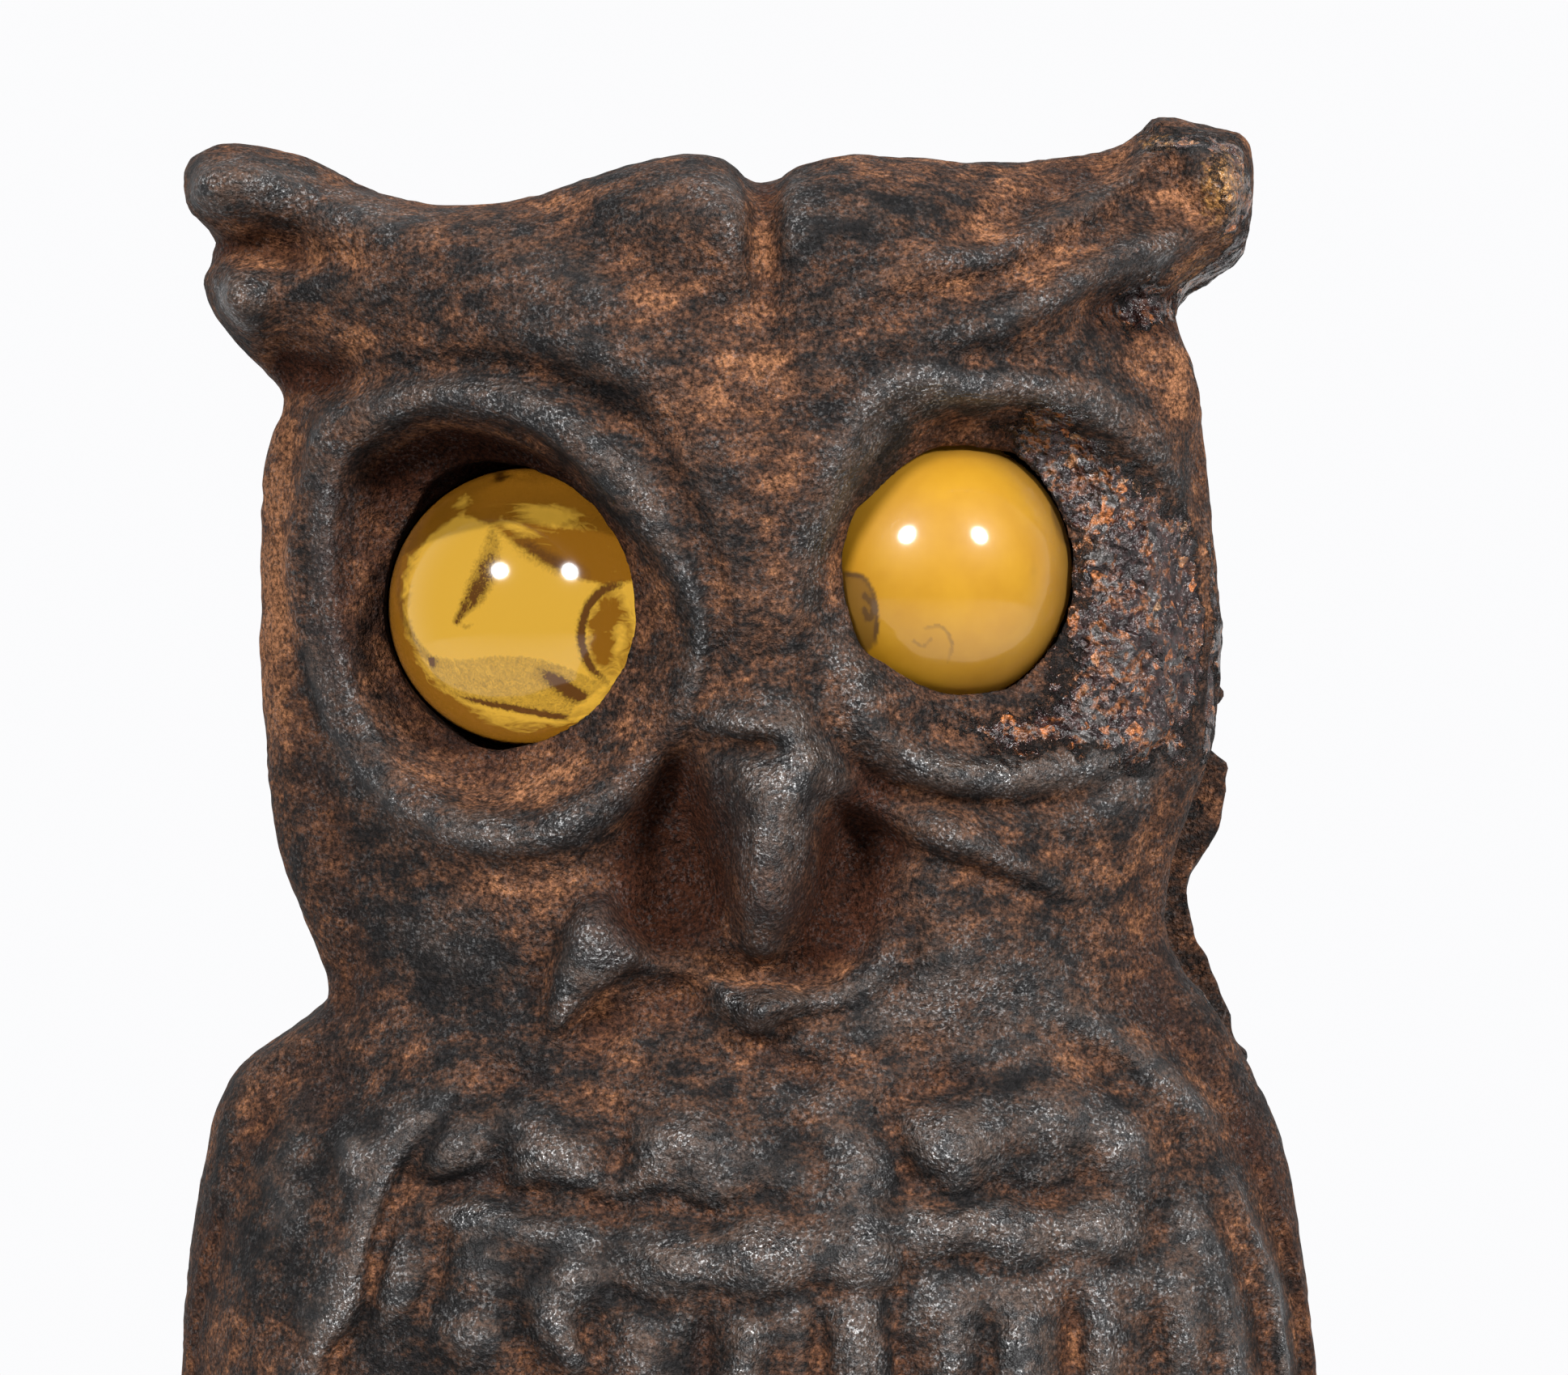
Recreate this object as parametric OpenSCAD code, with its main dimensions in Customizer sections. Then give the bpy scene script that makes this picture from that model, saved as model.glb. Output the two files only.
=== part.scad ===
// Cast-iron owl andiron with amber glass eyes.
// The figure faces -Y, +Z is up, and the origin is on the hearth, under the middle of the whole part.
// The figure is a half-round casting, open at the back. Its relief is a depth in front of the flat
// back rim, so "out" below always means millimetres from that rim towards the viewer.

/* [Casting] */
// Wall between the relief and the hollow back
wall = 7; // [5:0.5:9]
// Radius of the branch that the owl stands on
branch_r = 12; // [10:0.5:13]
// Half the distance between the middles of the two front feet
foot_x = 80; // [70:1:85]
// Mesh spacing of the relief in the head
head_step = 4; // [4:0.1:6]
// Mesh spacing of the relief in the body
body_step = 6; // [5.8:0.1:8]

/* [Glass eyes] */
// Radius of the domed front of each glass
glass_r = 21.5; // [21:0.1:21.6]
// Distance of each dome's centre in front of the back rim
glass_out = 36; // [35:0.5:37]
// Radius of the flange behind each dome
flange_r = 25.5; // [24.5:0.1:25.5]
// Thickness of that flange
flange_t = 5; // [4:0.5:5]

/* [Eye plate] */
// Thickness of the plate that holds both glasses in
plate_t = 3; // [2:0.5:4]
// Radius of the window behind each glass
window_r = 18.5; // [15:0.5:19]
// Diameter of the stud in the middle
stud_d = 6; // [5:0.5:6]

/* [Log bar] */
// Side of the square bar
bar_w = 16; // [12:1:18]
// Height of the bar's top face above the hearth
bar_top = 92; // [84:1:94]
// Reach of the bar behind the figure
bar_reach = 268; // [180:1:320]
// Outside radius of the bend down to the rear foot
bend_r = 36; // [30:1:50]
// Side of the square rear foot
rear_foot_w = 34; // [24:1:44]

/* [Bar bolts] */
// Diameter of the two bolts that fix the bar
bolt_d = 8; // [6:1:8]
// Distance between the two bolts
bolt_pitch = 38; // [36:1:41]

/* [Hidden] */

iron = [0.16, 0.11, 0.09];
amber = [0.85, 0.60, 0.15];
packing = [0.62, 0.58, 0.52];

// The deepest point of the figure in front of its back rim, and where that rim stands along Y.
figure_out = 74.7;
rim_y = (figure_out - bar_reach) / 2;

// Middle of each glass in the front view, and of the opening in front of it: [x, z].
left_glass = [-35.5, 315];
right_glass = [28, 320.5];
left_hole = [-38, 315];
right_hole = [32, 320.5];
left_hole_r = [18.7, 22];
right_hole_r = [18.2, 18.2];
stud_at = (left_glass + right_glass) / 2;

// Depths of the faces that the glass, its gasket, the plate and the nut sit on.
seat_out = glass_out - 9;
gasket_out = seat_out - flange_t;
plate_out = gasket_out - 2;
washer_out = plate_out - plate_t;
washer_t = 1.6;
nut_out = washer_out - washer_t;
gap = 0.15;

// The bar's bolted tab, its bolts, its bend and its rear leg.
tab_w = 58;
tab_h = 20;
tab_t = 8;
head_w = 12.5;
bolt_z = bar_top - tab_h / 2;
foot_t = 7;
tenon_r = 5;
leg_y = bar_reach - rear_foot_w / 2;
bend_y = leg_y - bend_r + bar_w / 2;

// ---- Outline of the owl, without the branch: [x, z] points of a smooth closed curve ----
outline_left = [
    [-88.5, 196], [-88, 208.5], [-86.5, 221], [-83.5, 235], [-80, 243], [-75, 247], [-70, 250.5],
    [-66.5, 253.5], [-66, 257], [-67, 261], [-70, 268.5], [-73, 276], [-75.5, 293.5], [-76.5, 312],
    [-76, 331], [-75, 341], [-73, 345], [-73, 348], [-78, 353.5], [-83.5, 360], [-85, 364],
    [-84, 371], [-87.5, 378], [-87, 382.5], [-84, 385],
];
outline_top = [
    [-79, 386], [-73, 385], [-66.5, 383], [-60, 379.5], [-54, 377], [-42.5, 376], [-31.5, 377.5],
    [-16.5, 382.5], [-10, 383.5], [-5, 383], [-1, 380.5], [1.5, 380], [4, 381], [8.5, 382],
    [16, 383], [31, 382], [45, 383], [51, 383.5], [56, 385], [59.5, 388], [62, 390], [65.5, 390],
    [71, 389], [75.5, 386.5],
];
outline_right = [
    [76.5, 383], [76.5, 376], [75, 370], [71, 366], [67, 363], [65, 360.5], [65, 356.5], [67, 352],
    [69, 346], [70, 338.5], [71.5, 322], [72.5, 305], [72, 290], [71, 283.5], [68, 274], [67, 271.5],
    [68, 267], [69, 261], [71, 255], [74, 248.5], [80.5, 236], [84, 221], [86, 206], [87, 196],
];
outline_low = [
    [88, 181], [87.5, 165], [84.5, 146], [79, 127], [71, 111], [60, 97], [49, 86], [30, 80],
    [0, 78], [-30, 80], [-49, 86], [-60, 98], [-71, 113], [-79.5, 130], [-85, 148], [-88, 166],
    [-89, 182],
];
outline = concat(outline_left, outline_top, outline_right, outline_low);

// ---- Small helpers ----
function clamp01(t) = max(0, min(1, t));
function ease(t) = let (u = clamp01(t)) u * u * (3 - 2 * u);
function swell(d, w) = exp(-pow(d / w, 2));
function mix(a, b, t) = a + (b - a) * t;
function segment_gap(p, a, b) =
    let (ab = b - a, t = clamp01(((p - a) * ab) / (ab * ab))) norm(p - a - t * ab);
function path_gap(p, path) = min([for (i = [0:len(path) - 2]) segment_gap(p, path[i], path[i + 1])]);
function loop_gap(p, loop) =
    min([for (i = [0:len(loop) - 1]) segment_gap(p, loop[i], loop[(i + 1) % len(loop)])]);
function ridge(p, path, w, h) = let (d = path_gap(p, path)) d > 3 * w ? 0 : h * swell(d, w);
function oval(p, centre, r) = norm([(p[0] - centre[0]) / r[0], (p[1] - centre[1]) / r[1]]);

// ---- The relief ----
// Depth along the middle line, and half the width that it curves over, against height.
middle_out = [
    [80, 36], [95, 48], [120, 58], [150, 64], [185, 67], [215, 65], [238, 59], [256, 54], [272, 55],
    [300, 58], [335, 61], [355, 62], [370, 58], [382, 50], [392, 44],
];
curve_half = [[80, 80], [120, 92], [190, 105], [235, 96], [256, 84], [300, 86], [392, 92]];

left_rim = [-40.5, 313.5];
left_rim_r = [32.5, 35];
right_rim = [39, 314];
right_rim_r = [31, 33.5];

brow_left = [[-84, 380], [-66, 374], [-48, 366], [-30, 357], [-14, 344], [-6, 326]];
brow_right = [[72, 382], [56, 374], [40, 362], [24, 354], [13, 342], [9, 326]];
notch_line = [[1.5, 384], [1.5, 372], [1.5, 352]];
beak_line = [[1.5, 290], [1.5, 276], [1, 263]];
mouth_line = [
    [-27, 255], [-24, 266], [-19, 260.5], [-8, 258], [0.5, 251], [10, 254], [21, 259], [25, 264],
];
wing_left = [
    [-44.5, 243], [-53.5, 231], [-59, 218], [-63, 200], [-64, 175], [-58, 140], [-46, 108],
];
wing_right = [[52, 250], [65, 240], [72, 227], [79, 212], [81, 190], [74, 150], [56, 112]];

// The bare masses of head, neck and body.
function mass(p) =
    let (half = lookup(p[1], curve_half), bow = 1 - pow((p[0] + 1) / half, 2))
    max(36, lookup(p[1], middle_out) * sqrt(max(0.05, bow)));

// The sloping floor of an eye socket: it rises from the side of the head to the bridge.
function socket_floor(p, glass, side) = glass_out + 6.5 + 0.43 * side * (glass[0] - p[0]);

function with_socket(h, p, rim, rim_r, glass, side) =
    let (q = oval(p, rim, rim_r))
    q > 1.5 ? h
    : mix(socket_floor(p, glass, side), h + 3.2 * swell(q - 0.94, 0.1), ease((q - 0.66) / 0.24));

// Rows of breast feathers: a scalloped crease under each row, a bulge above it.
function feathers(p) =
    p[1] > 240 || p[1] < 96 ? 0
    : let (
        row = (p[1] + 4 * abs(sin(p[0] * 9 + 90 * floor(p[1] / 19))) - 96) / 19,
        inner = ease((58 - abs(p[0] - 6)) / 10)
    ) inner * 2.4 * (sin(360 * (row - 0.25)) * 0.5);

function relief(p) =
    let (
        q0 = mass(p),
        q1 = q0 + ridge(p, brow_left, 8, 5) + ridge(p, brow_right, 8, 5) - ridge(p, notch_line, 4, 7),
        q2 = with_socket(q1, p, left_rim, left_rim_r, left_glass, -1),
        q3 = with_socket(q2, p, right_rim, right_rim_r, right_glass, 1),
        cheek = 7 * swell(norm([(p[0] - 1) / 26, (p[1] - 268) / 15]), 0.8),
        beak = ridge(p, beak_line, mix(4, 7, clamp01((p[1] - 260) / 30)), 20)
    ) q3 - cheek + beak + ridge(p, mouth_line, 4.5, 5) - ridge(p, wing_left, 3.5, 5)
        - ridge(p, wing_right, 3.5, 4) + feathers(p);

// Height of the rounded edge, as a share of the relief, at distance s inside the outline.
function edge(s, r) = mix(0.6, 1, sin(90 * clamp01(s / r)));
function edge_r(z) = mix(16, 11, ease((z - 340) / 20));
function front_out(p) = relief(p) * edge(loop_gap(p, outline), edge_r(p[1]));

// A solid between out = low and the given depths over a grid of columns xs and rows zs.
module field(xs, zs, outs, low) {
    nx = len(xs);
    nz = len(zs);
    n = nx * nz;
    front = [for (j = [0:nz - 1], i = [0:nx - 1]) [xs[i], -outs[j][i], zs[j]]];
    back = [for (j = [0:nz - 1], i = [0:nx - 1]) [xs[i], -low, zs[j]]];
    skin = [for (j = [0:nz - 2], i = [0:nx - 2]) let (a = j * nx + i, b = a + 1, c = b + nx, d = a + nx)
        each [[a, d, c], [a, c, b]]];
    plain = [for (f = skin) [f[0] + n, f[2] + n, f[1] + n]];
    function wall_faces(loop) = [for (k = [0:len(loop) - 2]) let (a = loop[k], b = loop[k + 1])
        each [[a, b, b + n], [a, b + n, a + n]]];
    rim = concat(
        [for (i = [0:nx - 1]) i],
        [for (j = [1:nz - 1]) j * nx + nx - 1],
        [for (i = [nx - 2:-1:0]) (nz - 1) * nx + i],
        [for (j = [nz - 2:-1:0]) j * nx]
    );
    polyhedron(points = concat(front, back), faces = concat(skin, plain, wall_faces(rim)), convexity = 10);
}

// Extrudes a shape drawn in the front view from depth low to depth high.
module slab(low, high) {
    rotate([90, 0, 0]) translate([0, 0, low]) linear_extrude(high - low) children();
}

module disc(at, r, low, high) {
    slab(low, high) translate(at) circle(r, $fn = 40);
}

module owl_front() {
    xs = [for (x = [-93:head_step + 0.2:93]) x];
    zs = concat([for (z = [74:body_step:250]) z], [for (z = [253:head_step:394]) z]);
    intersection() {
        field(xs, zs, [for (z = zs) [for (x = xs) front_out([x, z])]], -4);
        slab(0, 90) polygon(outline);
    }
}

// The hollow back follows the bare masses, and is shallower behind the eyes, where the glass sits.
module owl_hollow() {
    xs = [for (x = [-92:11.5:92]) x];
    zs = [for (z = [84:12:396]) z];
    function hollow_out(p) =
        let (eyes = ease((p[1] - 266) / 10) * (1 - ease((p[1] - 352) / 8)))
        mix(0.86 * mass(p) - wall - 2, seat_out - 1, eyes);
    intersection() {
        field(xs, zs, [for (z = zs) [for (x = xs) max(2, hollow_out([x, z]))]], -6);
        slab(-3, 90) difference() {
            offset(delta = -wall) polygon(outline);
            translate([-100, 0]) square([200, 112]);
        }
    }
}

module ball(at, r) {
    translate(at) sphere(r, $fn = 10);
}

// A tapered limb through [x, out, z] points, with its radius at each.
module limb(points, radii) {
    for (i = [0:len(points) - 2]) hull() {
        ball([points[i][0], -points[i][1], points[i][2]], radii[i]);
        ball([points[i + 1][0], -points[i + 1][1], points[i + 1][2]], radii[i + 1]);
    }
}

module branch() {
    limb([[-88, 37, 78], [-50, 36, 74], [0, 35, 73], [50, 36, 74], [88, 37, 78]],
        [branch_r - 2, branch_r, branch_r + 1, branch_r, branch_r - 2]);
}

module front_leg(side) {
    limb([[side * 46, 36, 72], [side * 62, 36, 52], [side * (foot_x - 4), 35, 28], [side * foot_x, 35, 9]],
        [branch_r, branch_r - 2, branch_r - 3, branch_r - 3]);
    translate([side * foot_x, -35, 0]) hull() {
        resize([34, 52, 5]) cylinder(h = 5, r = 20, $fn = 40);
        translate([0, 0, 4]) resize([24, 36, 7]) cylinder(h = 7, r = 16, $fn = 40);
    }
}

// Three toes of one foot, curled over the front of the branch.
module talons(side) {
    for (k = [-1, 0, 1]) let (x = side * 25 + k * 10.5) limb(
        [[x - k * 1.5, 42, 93], [x, 50, 86], [x + k, 52, 74], [x + k, 47, 62]], [6.5, 6, 5, 2.2]);
}

module tail() {
    for (k = [-1, 0, 1]) limb(
        [[k * 9, 22, 84], [k * 12, 26, 56], [k * 10, 25, 34 - 6 * (1 - abs(k))]], [11, 9, 8.5]);
}

// One socket from the back: a flat seat with a raised wall around the flange.
module socket_seat(glass) {
    disc(glass, flange_r + 4.5, gasket_out - 1, glass_out + 2);
}

module socket_cut(glass, hole, hole_r) {
    disc(glass, flange_r + 0.4, -2, seat_out);
    disc(glass, glass_r + 0.4, -2, glass_out);
    translate([glass[0], -glass_out, glass[1]]) sphere(glass_r + 0.4, $fn = 32);
    slab(glass_out - 6, 100) translate(hole) scale([hole_r[0], hole_r[1]]) circle(1, $fn = 36);
}

// The whole figure is one casting: owl, branch, tail, feet and rear bosses.
module owl_casting() color(iron) translate([0, rim_y, 0]) difference() {
    union() {
        difference() {
            owl_front();
            owl_hollow();
        }
        intersection() {
            union() {
                socket_seat(left_glass);
                socket_seat(right_glass);
                disc(stud_at, 8, gasket_out - 1, 50);
            }
            slab(0, glass_out + 2) offset(delta = -2) polygon(outline);
        }
        branch();
        for (side = [-1, 1]) {
            front_leg(side);
            talons(side);
        }
        tail();
        slab(0, 40) translate([-tab_w / 2 - 2, bar_top - tab_h - 6]) square([tab_w + 4, tab_h + 8]);
    }
    socket_cut(left_glass, left_hole, left_hole_r);
    socket_cut(right_glass, right_hole, right_hole_r);
    disc(stud_at, stud_d / 2 + gap, -2, seat_out + 8);
    for (side = [-1, 1]) slab(-2, 24) translate([side * bolt_pitch / 2, bolt_z])
        circle(bolt_d / 2 + gap, $fn = 32);
    translate([-200, -100, -50]) cube([400, 200, 50]);
}

// A moulded glass: a half ball on a short neck and a flange, flat at the back.
module glass_eye(at) {
    translate([at[0], rim_y, at[1]]) rotate([90, 0, 0]) rotate_extrude($fn = 96) {
        translate([0, gasket_out]) square([flange_r, flange_t - gap / 2]);
        translate([0, seat_out - 1]) square([glass_r, glass_out - seat_out + 1]);
        translate([0, glass_out]) intersection() {
            circle(glass_r, $fn = 96);
            square(glass_r);
        }
    }
}

module left_eye() color(amber) glass_eye(left_glass);

module right_eye() color(amber) glass_eye(right_glass);

module gasket(at) {
    translate([at[0], rim_y, at[1]]) rotate([90, 0, 0]) translate([0, 0, plate_out])
        difference() {
            cylinder(h = 2, r = flange_r, $fn = 72);
            translate([0, 0, -1]) cylinder(h = 4, r = window_r, $fn = 72);
        }
}

module left_eye_gasket() color(packing) gasket(left_glass);

module right_eye_gasket() color(packing) gasket(right_glass);

// The plate's outline: a disc behind each glass and a waist between them.
module eye_plate() color(iron) translate([0, rim_y, 0]) rotate([90, 0, 0]) translate([0, 0, washer_out])
    difference() {
        union() {
            for (at = [left_glass, right_glass]) translate([at[0], at[1], 0])
                cylinder(h = plate_t, r = flange_r + 3, $fn = 72);
            translate([stud_at[0] - 14, stud_at[1] - 19, 0]) cube([28, 38, plate_t]);
        }
        for (at = [left_glass, right_glass]) translate([at[0], at[1], -1])
            cylinder(h = plate_t + 2, r = window_r, $fn = 72);
        translate([stud_at[0], stud_at[1], -1]) cylinder(h = plate_t + 2, r = stud_d / 2 + 0.4, $fn = 36);
    }

module plate_stud() color(iron) translate([stud_at[0], rim_y, stud_at[1]]) rotate([90, 0, 0])
    translate([0, 0, nut_out - 9]) cylinder(h = seat_out + 7 - (nut_out - 9), r = stud_d / 2, $fn = 36);

module plate_washer() color(iron) translate([stud_at[0], rim_y, stud_at[1]]) rotate([90, 0, 0])
    translate([0, 0, nut_out]) difference() {
        cylinder(h = washer_t, r = 8, $fn = 48);
        translate([0, 0, -1]) cylinder(h = 4, r = stud_d / 2 + 0.3, $fn = 36);
    }

module plate_nut() color(iron) translate([stud_at[0], rim_y, stud_at[1]]) rotate([90, 0, 0])
    translate([0, 0, nut_out - 6]) difference() {
        rotate([0, 0, 14]) translate([-6, -6, 0]) cube([12, 12, 6]);
        translate([0, 0, -1]) cylinder(h = 8, r = stud_d / 2 + 0.05, $fn = 36);
    }

// The bar: a tab with two bolt holes, a straight square bar, a quarter bend and the rear leg.
module log_bar() color(iron) translate([0, rim_y, 0]) difference() {
    union() {
        translate([-tab_w / 2, 0, bar_top - tab_h]) cube([tab_w, tab_t, tab_h]);
        translate([-bar_w / 2, 1, bar_top - bar_w]) cube([bar_w, bend_y - 1, bar_w]);
        translate([0, bend_y, bar_top - bend_r]) rotate([90, 0, 90])
            rotate_extrude(angle = 90, $fn = 64) translate([bend_r - bar_w, -bar_w / 2]) square(bar_w);
        translate([-bar_w / 2, leg_y - bar_w / 2, foot_t]) cube([bar_w, bar_w, bar_top - bend_r - foot_t]);
        translate([0, leg_y, 0]) cylinder(h = foot_t + 1, r = tenon_r, $fn = 40);
    }
    for (side = [-1, 1]) along_bolt(side) translate([0, 0, -1])
        cylinder(h = tab_t + 2, r = bolt_d / 2 + 0.4, $fn = 36);
}

// Puts its children on a bolt's axis, with +Z pointing out of the back and 0 at the rear boss.
module along_bolt(side) {
    translate([side * bolt_pitch / 2, 0, bolt_z]) rotate([-90, 0, 0]) children();
}

// The foot plate is riveted on a tenon under the rear leg.
module rear_foot() color(iron) translate([0, rim_y + leg_y, 0]) difference() {
    translate([-rear_foot_w / 2, -rear_foot_w / 2, 0]) cube([rear_foot_w, rear_foot_w, foot_t]);
    translate([0, 0, -1]) cylinder(h = foot_t + 2, r = tenon_r + 0.1, $fn = 40);
}

module bar_bolts() color(iron) translate([0, rim_y, 0])
    for (side = [-1, 1]) along_bolt(side) {
        translate([0, 0, -20]) cylinder(h = 20 + tab_t + washer_t, r = bolt_d / 2, $fn = 36);
        translate([0, 0, tab_t + washer_t]) rotate([0, 0, 16 * side])
            translate([-head_w / 2, -head_w / 2, 0]) cube([head_w, head_w, 6]);
    }

module bar_washers() color(iron) translate([0, rim_y, 0])
    for (side = [-1, 1]) along_bolt(side) translate([0, 0, tab_t]) difference() {
        cylinder(h = washer_t, r = 8.5, $fn = 48);
        translate([0, 0, -1]) cylinder(h = washer_t + 2, r = bolt_d / 2 + 0.3, $fn = 36);
    }

owl_casting();
left_eye();
right_eye();
left_eye_gasket();
right_eye_gasket();
eye_plate();
plate_stud();
plate_washer();
plate_nut();
log_bar();
rear_foot();
bar_bolts();
bar_washers();
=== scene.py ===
import math

import bpy
import numpy as np
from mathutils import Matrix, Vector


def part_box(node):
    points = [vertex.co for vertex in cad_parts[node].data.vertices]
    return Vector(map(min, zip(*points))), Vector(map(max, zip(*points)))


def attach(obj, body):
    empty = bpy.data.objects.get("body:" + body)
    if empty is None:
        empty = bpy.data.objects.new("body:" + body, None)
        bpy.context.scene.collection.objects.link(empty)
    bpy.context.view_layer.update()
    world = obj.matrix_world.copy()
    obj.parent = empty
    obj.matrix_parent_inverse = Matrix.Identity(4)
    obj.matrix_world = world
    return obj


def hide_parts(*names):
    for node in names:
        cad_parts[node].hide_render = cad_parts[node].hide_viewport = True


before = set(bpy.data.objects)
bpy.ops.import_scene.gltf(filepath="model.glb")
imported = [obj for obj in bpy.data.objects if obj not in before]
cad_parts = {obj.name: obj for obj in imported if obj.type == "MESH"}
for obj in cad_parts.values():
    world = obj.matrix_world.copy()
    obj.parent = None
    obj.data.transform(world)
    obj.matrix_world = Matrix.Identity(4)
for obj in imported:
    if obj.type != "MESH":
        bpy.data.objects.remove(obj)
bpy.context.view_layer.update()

import openvdb
from mathutils import Vector

# The figure is sculpted in millimetres: x to the right, "out" in front of the casting's flat back rim,
# and z up. place() turns that into metres in the frame.
MM = 0.001
RIM_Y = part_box("log_bar")[0].y


def place(x, out, z):
    return x * MM, RIM_Y - out * MM, z * MM


def node_middle(name):
    """Middle of a node in the front view, in millimetres."""
    low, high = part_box(name)
    return (low.x + high.x) / 2 / MM, (low.z + high.z) / 2 / MM


def node_out(name):
    """The node's rear and front faces, in millimetres in front of the back rim."""
    low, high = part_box(name)
    return (RIM_Y - high.y) / MM, (RIM_Y - low.y) / MM


# Sizes in millimetres, read from the frame where it shows them.
LEFT_GLASS = node_middle("left_eye")
RIGHT_GLASS = node_middle("right_eye")
STUD_AT = node_middle("plate_stud")
GLASS_R = 21.5
GASKET_OUT, GLASS_TOP_OUT = node_out("left_eye")
GLASS_OUT = GLASS_TOP_OUT - GLASS_R
SEAT_OUT = GLASS_OUT - 9
FLANGE_R = (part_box("left_eye")[1].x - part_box("left_eye")[0].x) / 2 / MM
BAR_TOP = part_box("log_bar")[1].z / MM
BAR_REACH = (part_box("log_bar")[1].y - RIM_Y) / MM
TAB_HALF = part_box("log_bar")[1].x / MM
BAR_W = 16.0
BEND_R = 36.0
TAB_H = 20.0
TAB_T = 8.0
FOOT_T = (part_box("rear_foot")[1].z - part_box("rear_foot")[0].z) / MM
BOLT_HEAD_REACH = 7.73
BOLT_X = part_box("bar_bolts")[1].x / MM - BOLT_HEAD_REACH
BOLT_Z = BAR_TOP - TAB_H / 2
WALL = 7.0
BRANCH_R = 12.0
FOOT_X = 80.0


# ---- Small helpers for objects and their meshes ----

def new_object(name, data):
    obj = bpy.data.objects.new(name, data)
    bpy.context.scene.collection.objects.link(obj)
    return obj


def smooth_mesh(name, points, faces):
    """A smooth-shaded object from (x, out, z) points. place() mirrors them, so each face is turned."""
    mesh = bpy.data.meshes.new(name)
    mesh.from_pydata(np.column_stack(place(*points.T)), [], [face[::-1] for face in faces])
    mesh.validate()
    mesh.polygons.foreach_set("use_smooth", np.ones(len(mesh.polygons), bool))
    return new_object(name, mesh)


def surface_of(mesh):
    """The places of a mesh's points and their normals, one row for each point."""
    found = []
    for kind in ("co", "normal"):
        values = np.empty(len(mesh.vertices) * 3)
        mesh.vertices.foreach_get(kind, values)
        found.append(values.reshape(-1, 3))
    return found


def move_points(mesh, at):
    mesh.vertices.foreach_set("co", at.ravel())
    mesh.update()


def write_map(mesh, name, values):
    """Keeps one value for each point, which a material reads by its name."""
    mesh.attributes.new(name, "FLOAT", "POINT").data.foreach_set("value", values.astype(np.float32))


# ---- Small helpers for maps: arrays over the front view, in millimetres ----

# A stroke or a lump has faded away at this many of its half widths.
REACH = 2.6


def unit(values):
    return np.clip(values, 0, 1)


def ease(t):
    """Goes smoothly from 0 to 1 as t does."""
    t = unit(t)
    return t * t * (3 - 2 * t)


def mix(a, b, t):
    return a + (b - a) * t


def smooth_path(points, closed=False, per_span=6):
    """A smooth curve through the points."""
    p = np.array(points, float)
    p = np.vstack([p[-1:], p, p[:2]]) if closed else np.vstack([2 * p[0] - p[1], p, 2 * p[-1] - p[-2]])
    t = np.linspace(0, 1, per_span, endpoint=False)[:, None]
    spans = []
    for a, b, c, d in zip(p[:-3], p[1:-2], p[2:-1], p[3:]):
        spans.append(b + 0.5 * t * (c - a + t * (2 * a - 5 * b + 4 * c - d + t * (3 * (b - c) + d - a))))
    return np.vstack(spans + [p[-2:-1]])


def trace(path, x, z):
    """Distance to a path, the place along it from 0 to 1, and +1 to the left of its direction or -1."""
    best = np.full(x.shape, 1e9)
    along = np.zeros(x.shape)
    side = np.ones(x.shape)
    n = len(path) - 1
    for i, (a, b) in enumerate(zip(path[:-1], path[1:])):
        d = b - a
        px, pz = x - a[0], z - a[1]
        t = np.clip((px * d[0] + pz * d[1]) / max(d @ d, 1e-9), 0, 1)
        gap = (px - t * d[0]) ** 2 + (pz - t * d[1]) ** 2
        near = gap < best
        best = np.where(near, gap, best)
        along = np.where(near, (i + t) / n, along)
        side = np.where(near, np.sign(d[0] * pz - d[1] * px), side)
    return np.sqrt(best), along, side


def inside(loop, x, z):
    """True where a point lies in a closed path."""
    found = np.zeros(x.shape, bool)
    for (ax, az), (bx, bz) in zip(loop[:-1], loop[1:]):
        if az != bz:
            crosses = ((az > z) != (bz > z)) & (x < (bx - ax) * (z - az) / (bz - az) + ax)
            found ^= crosses
    return found


def depth_in(points, x, z, per_span=6):
    """Distance inside a smooth closed outline; negative outside."""
    loop = smooth_path(points, closed=True, per_span=per_span)
    gap = trace(loop, x, z)[0]
    return np.where(inside(loop, x, z), gap, -gap)


def noise_map(shape, cell, seed):
    """Smooth noise from -1 to 1 with the given cell, in grid steps."""
    rows, cols = int(shape[0] / cell) + 4, int(shape[1] / cell) + 4
    grid = np.random.default_rng(seed).uniform(-1, 1, (rows, cols))
    v = np.arange(shape[0]) / cell
    u = np.arange(shape[1]) / cell
    i, j = v.astype(int), u.astype(int)
    fv, fu = (v - i)[:, None], (u - j)[None, :]

    def weights(f):
        return [(1 - f) ** 3 / 6, (3 * f ** 3 - 6 * f ** 2 + 4) / 6,
                (-3 * f ** 3 + 3 * f ** 2 + 3 * f + 1) / 6, f ** 3 / 6]

    total = 0
    for a, wv in enumerate(weights(fv)):
        for b, wu in enumerate(weights(fu)):
            total = total + grid[np.ix_(i + a, j + b)] * wv * wu
    return total * 2.2


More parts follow.
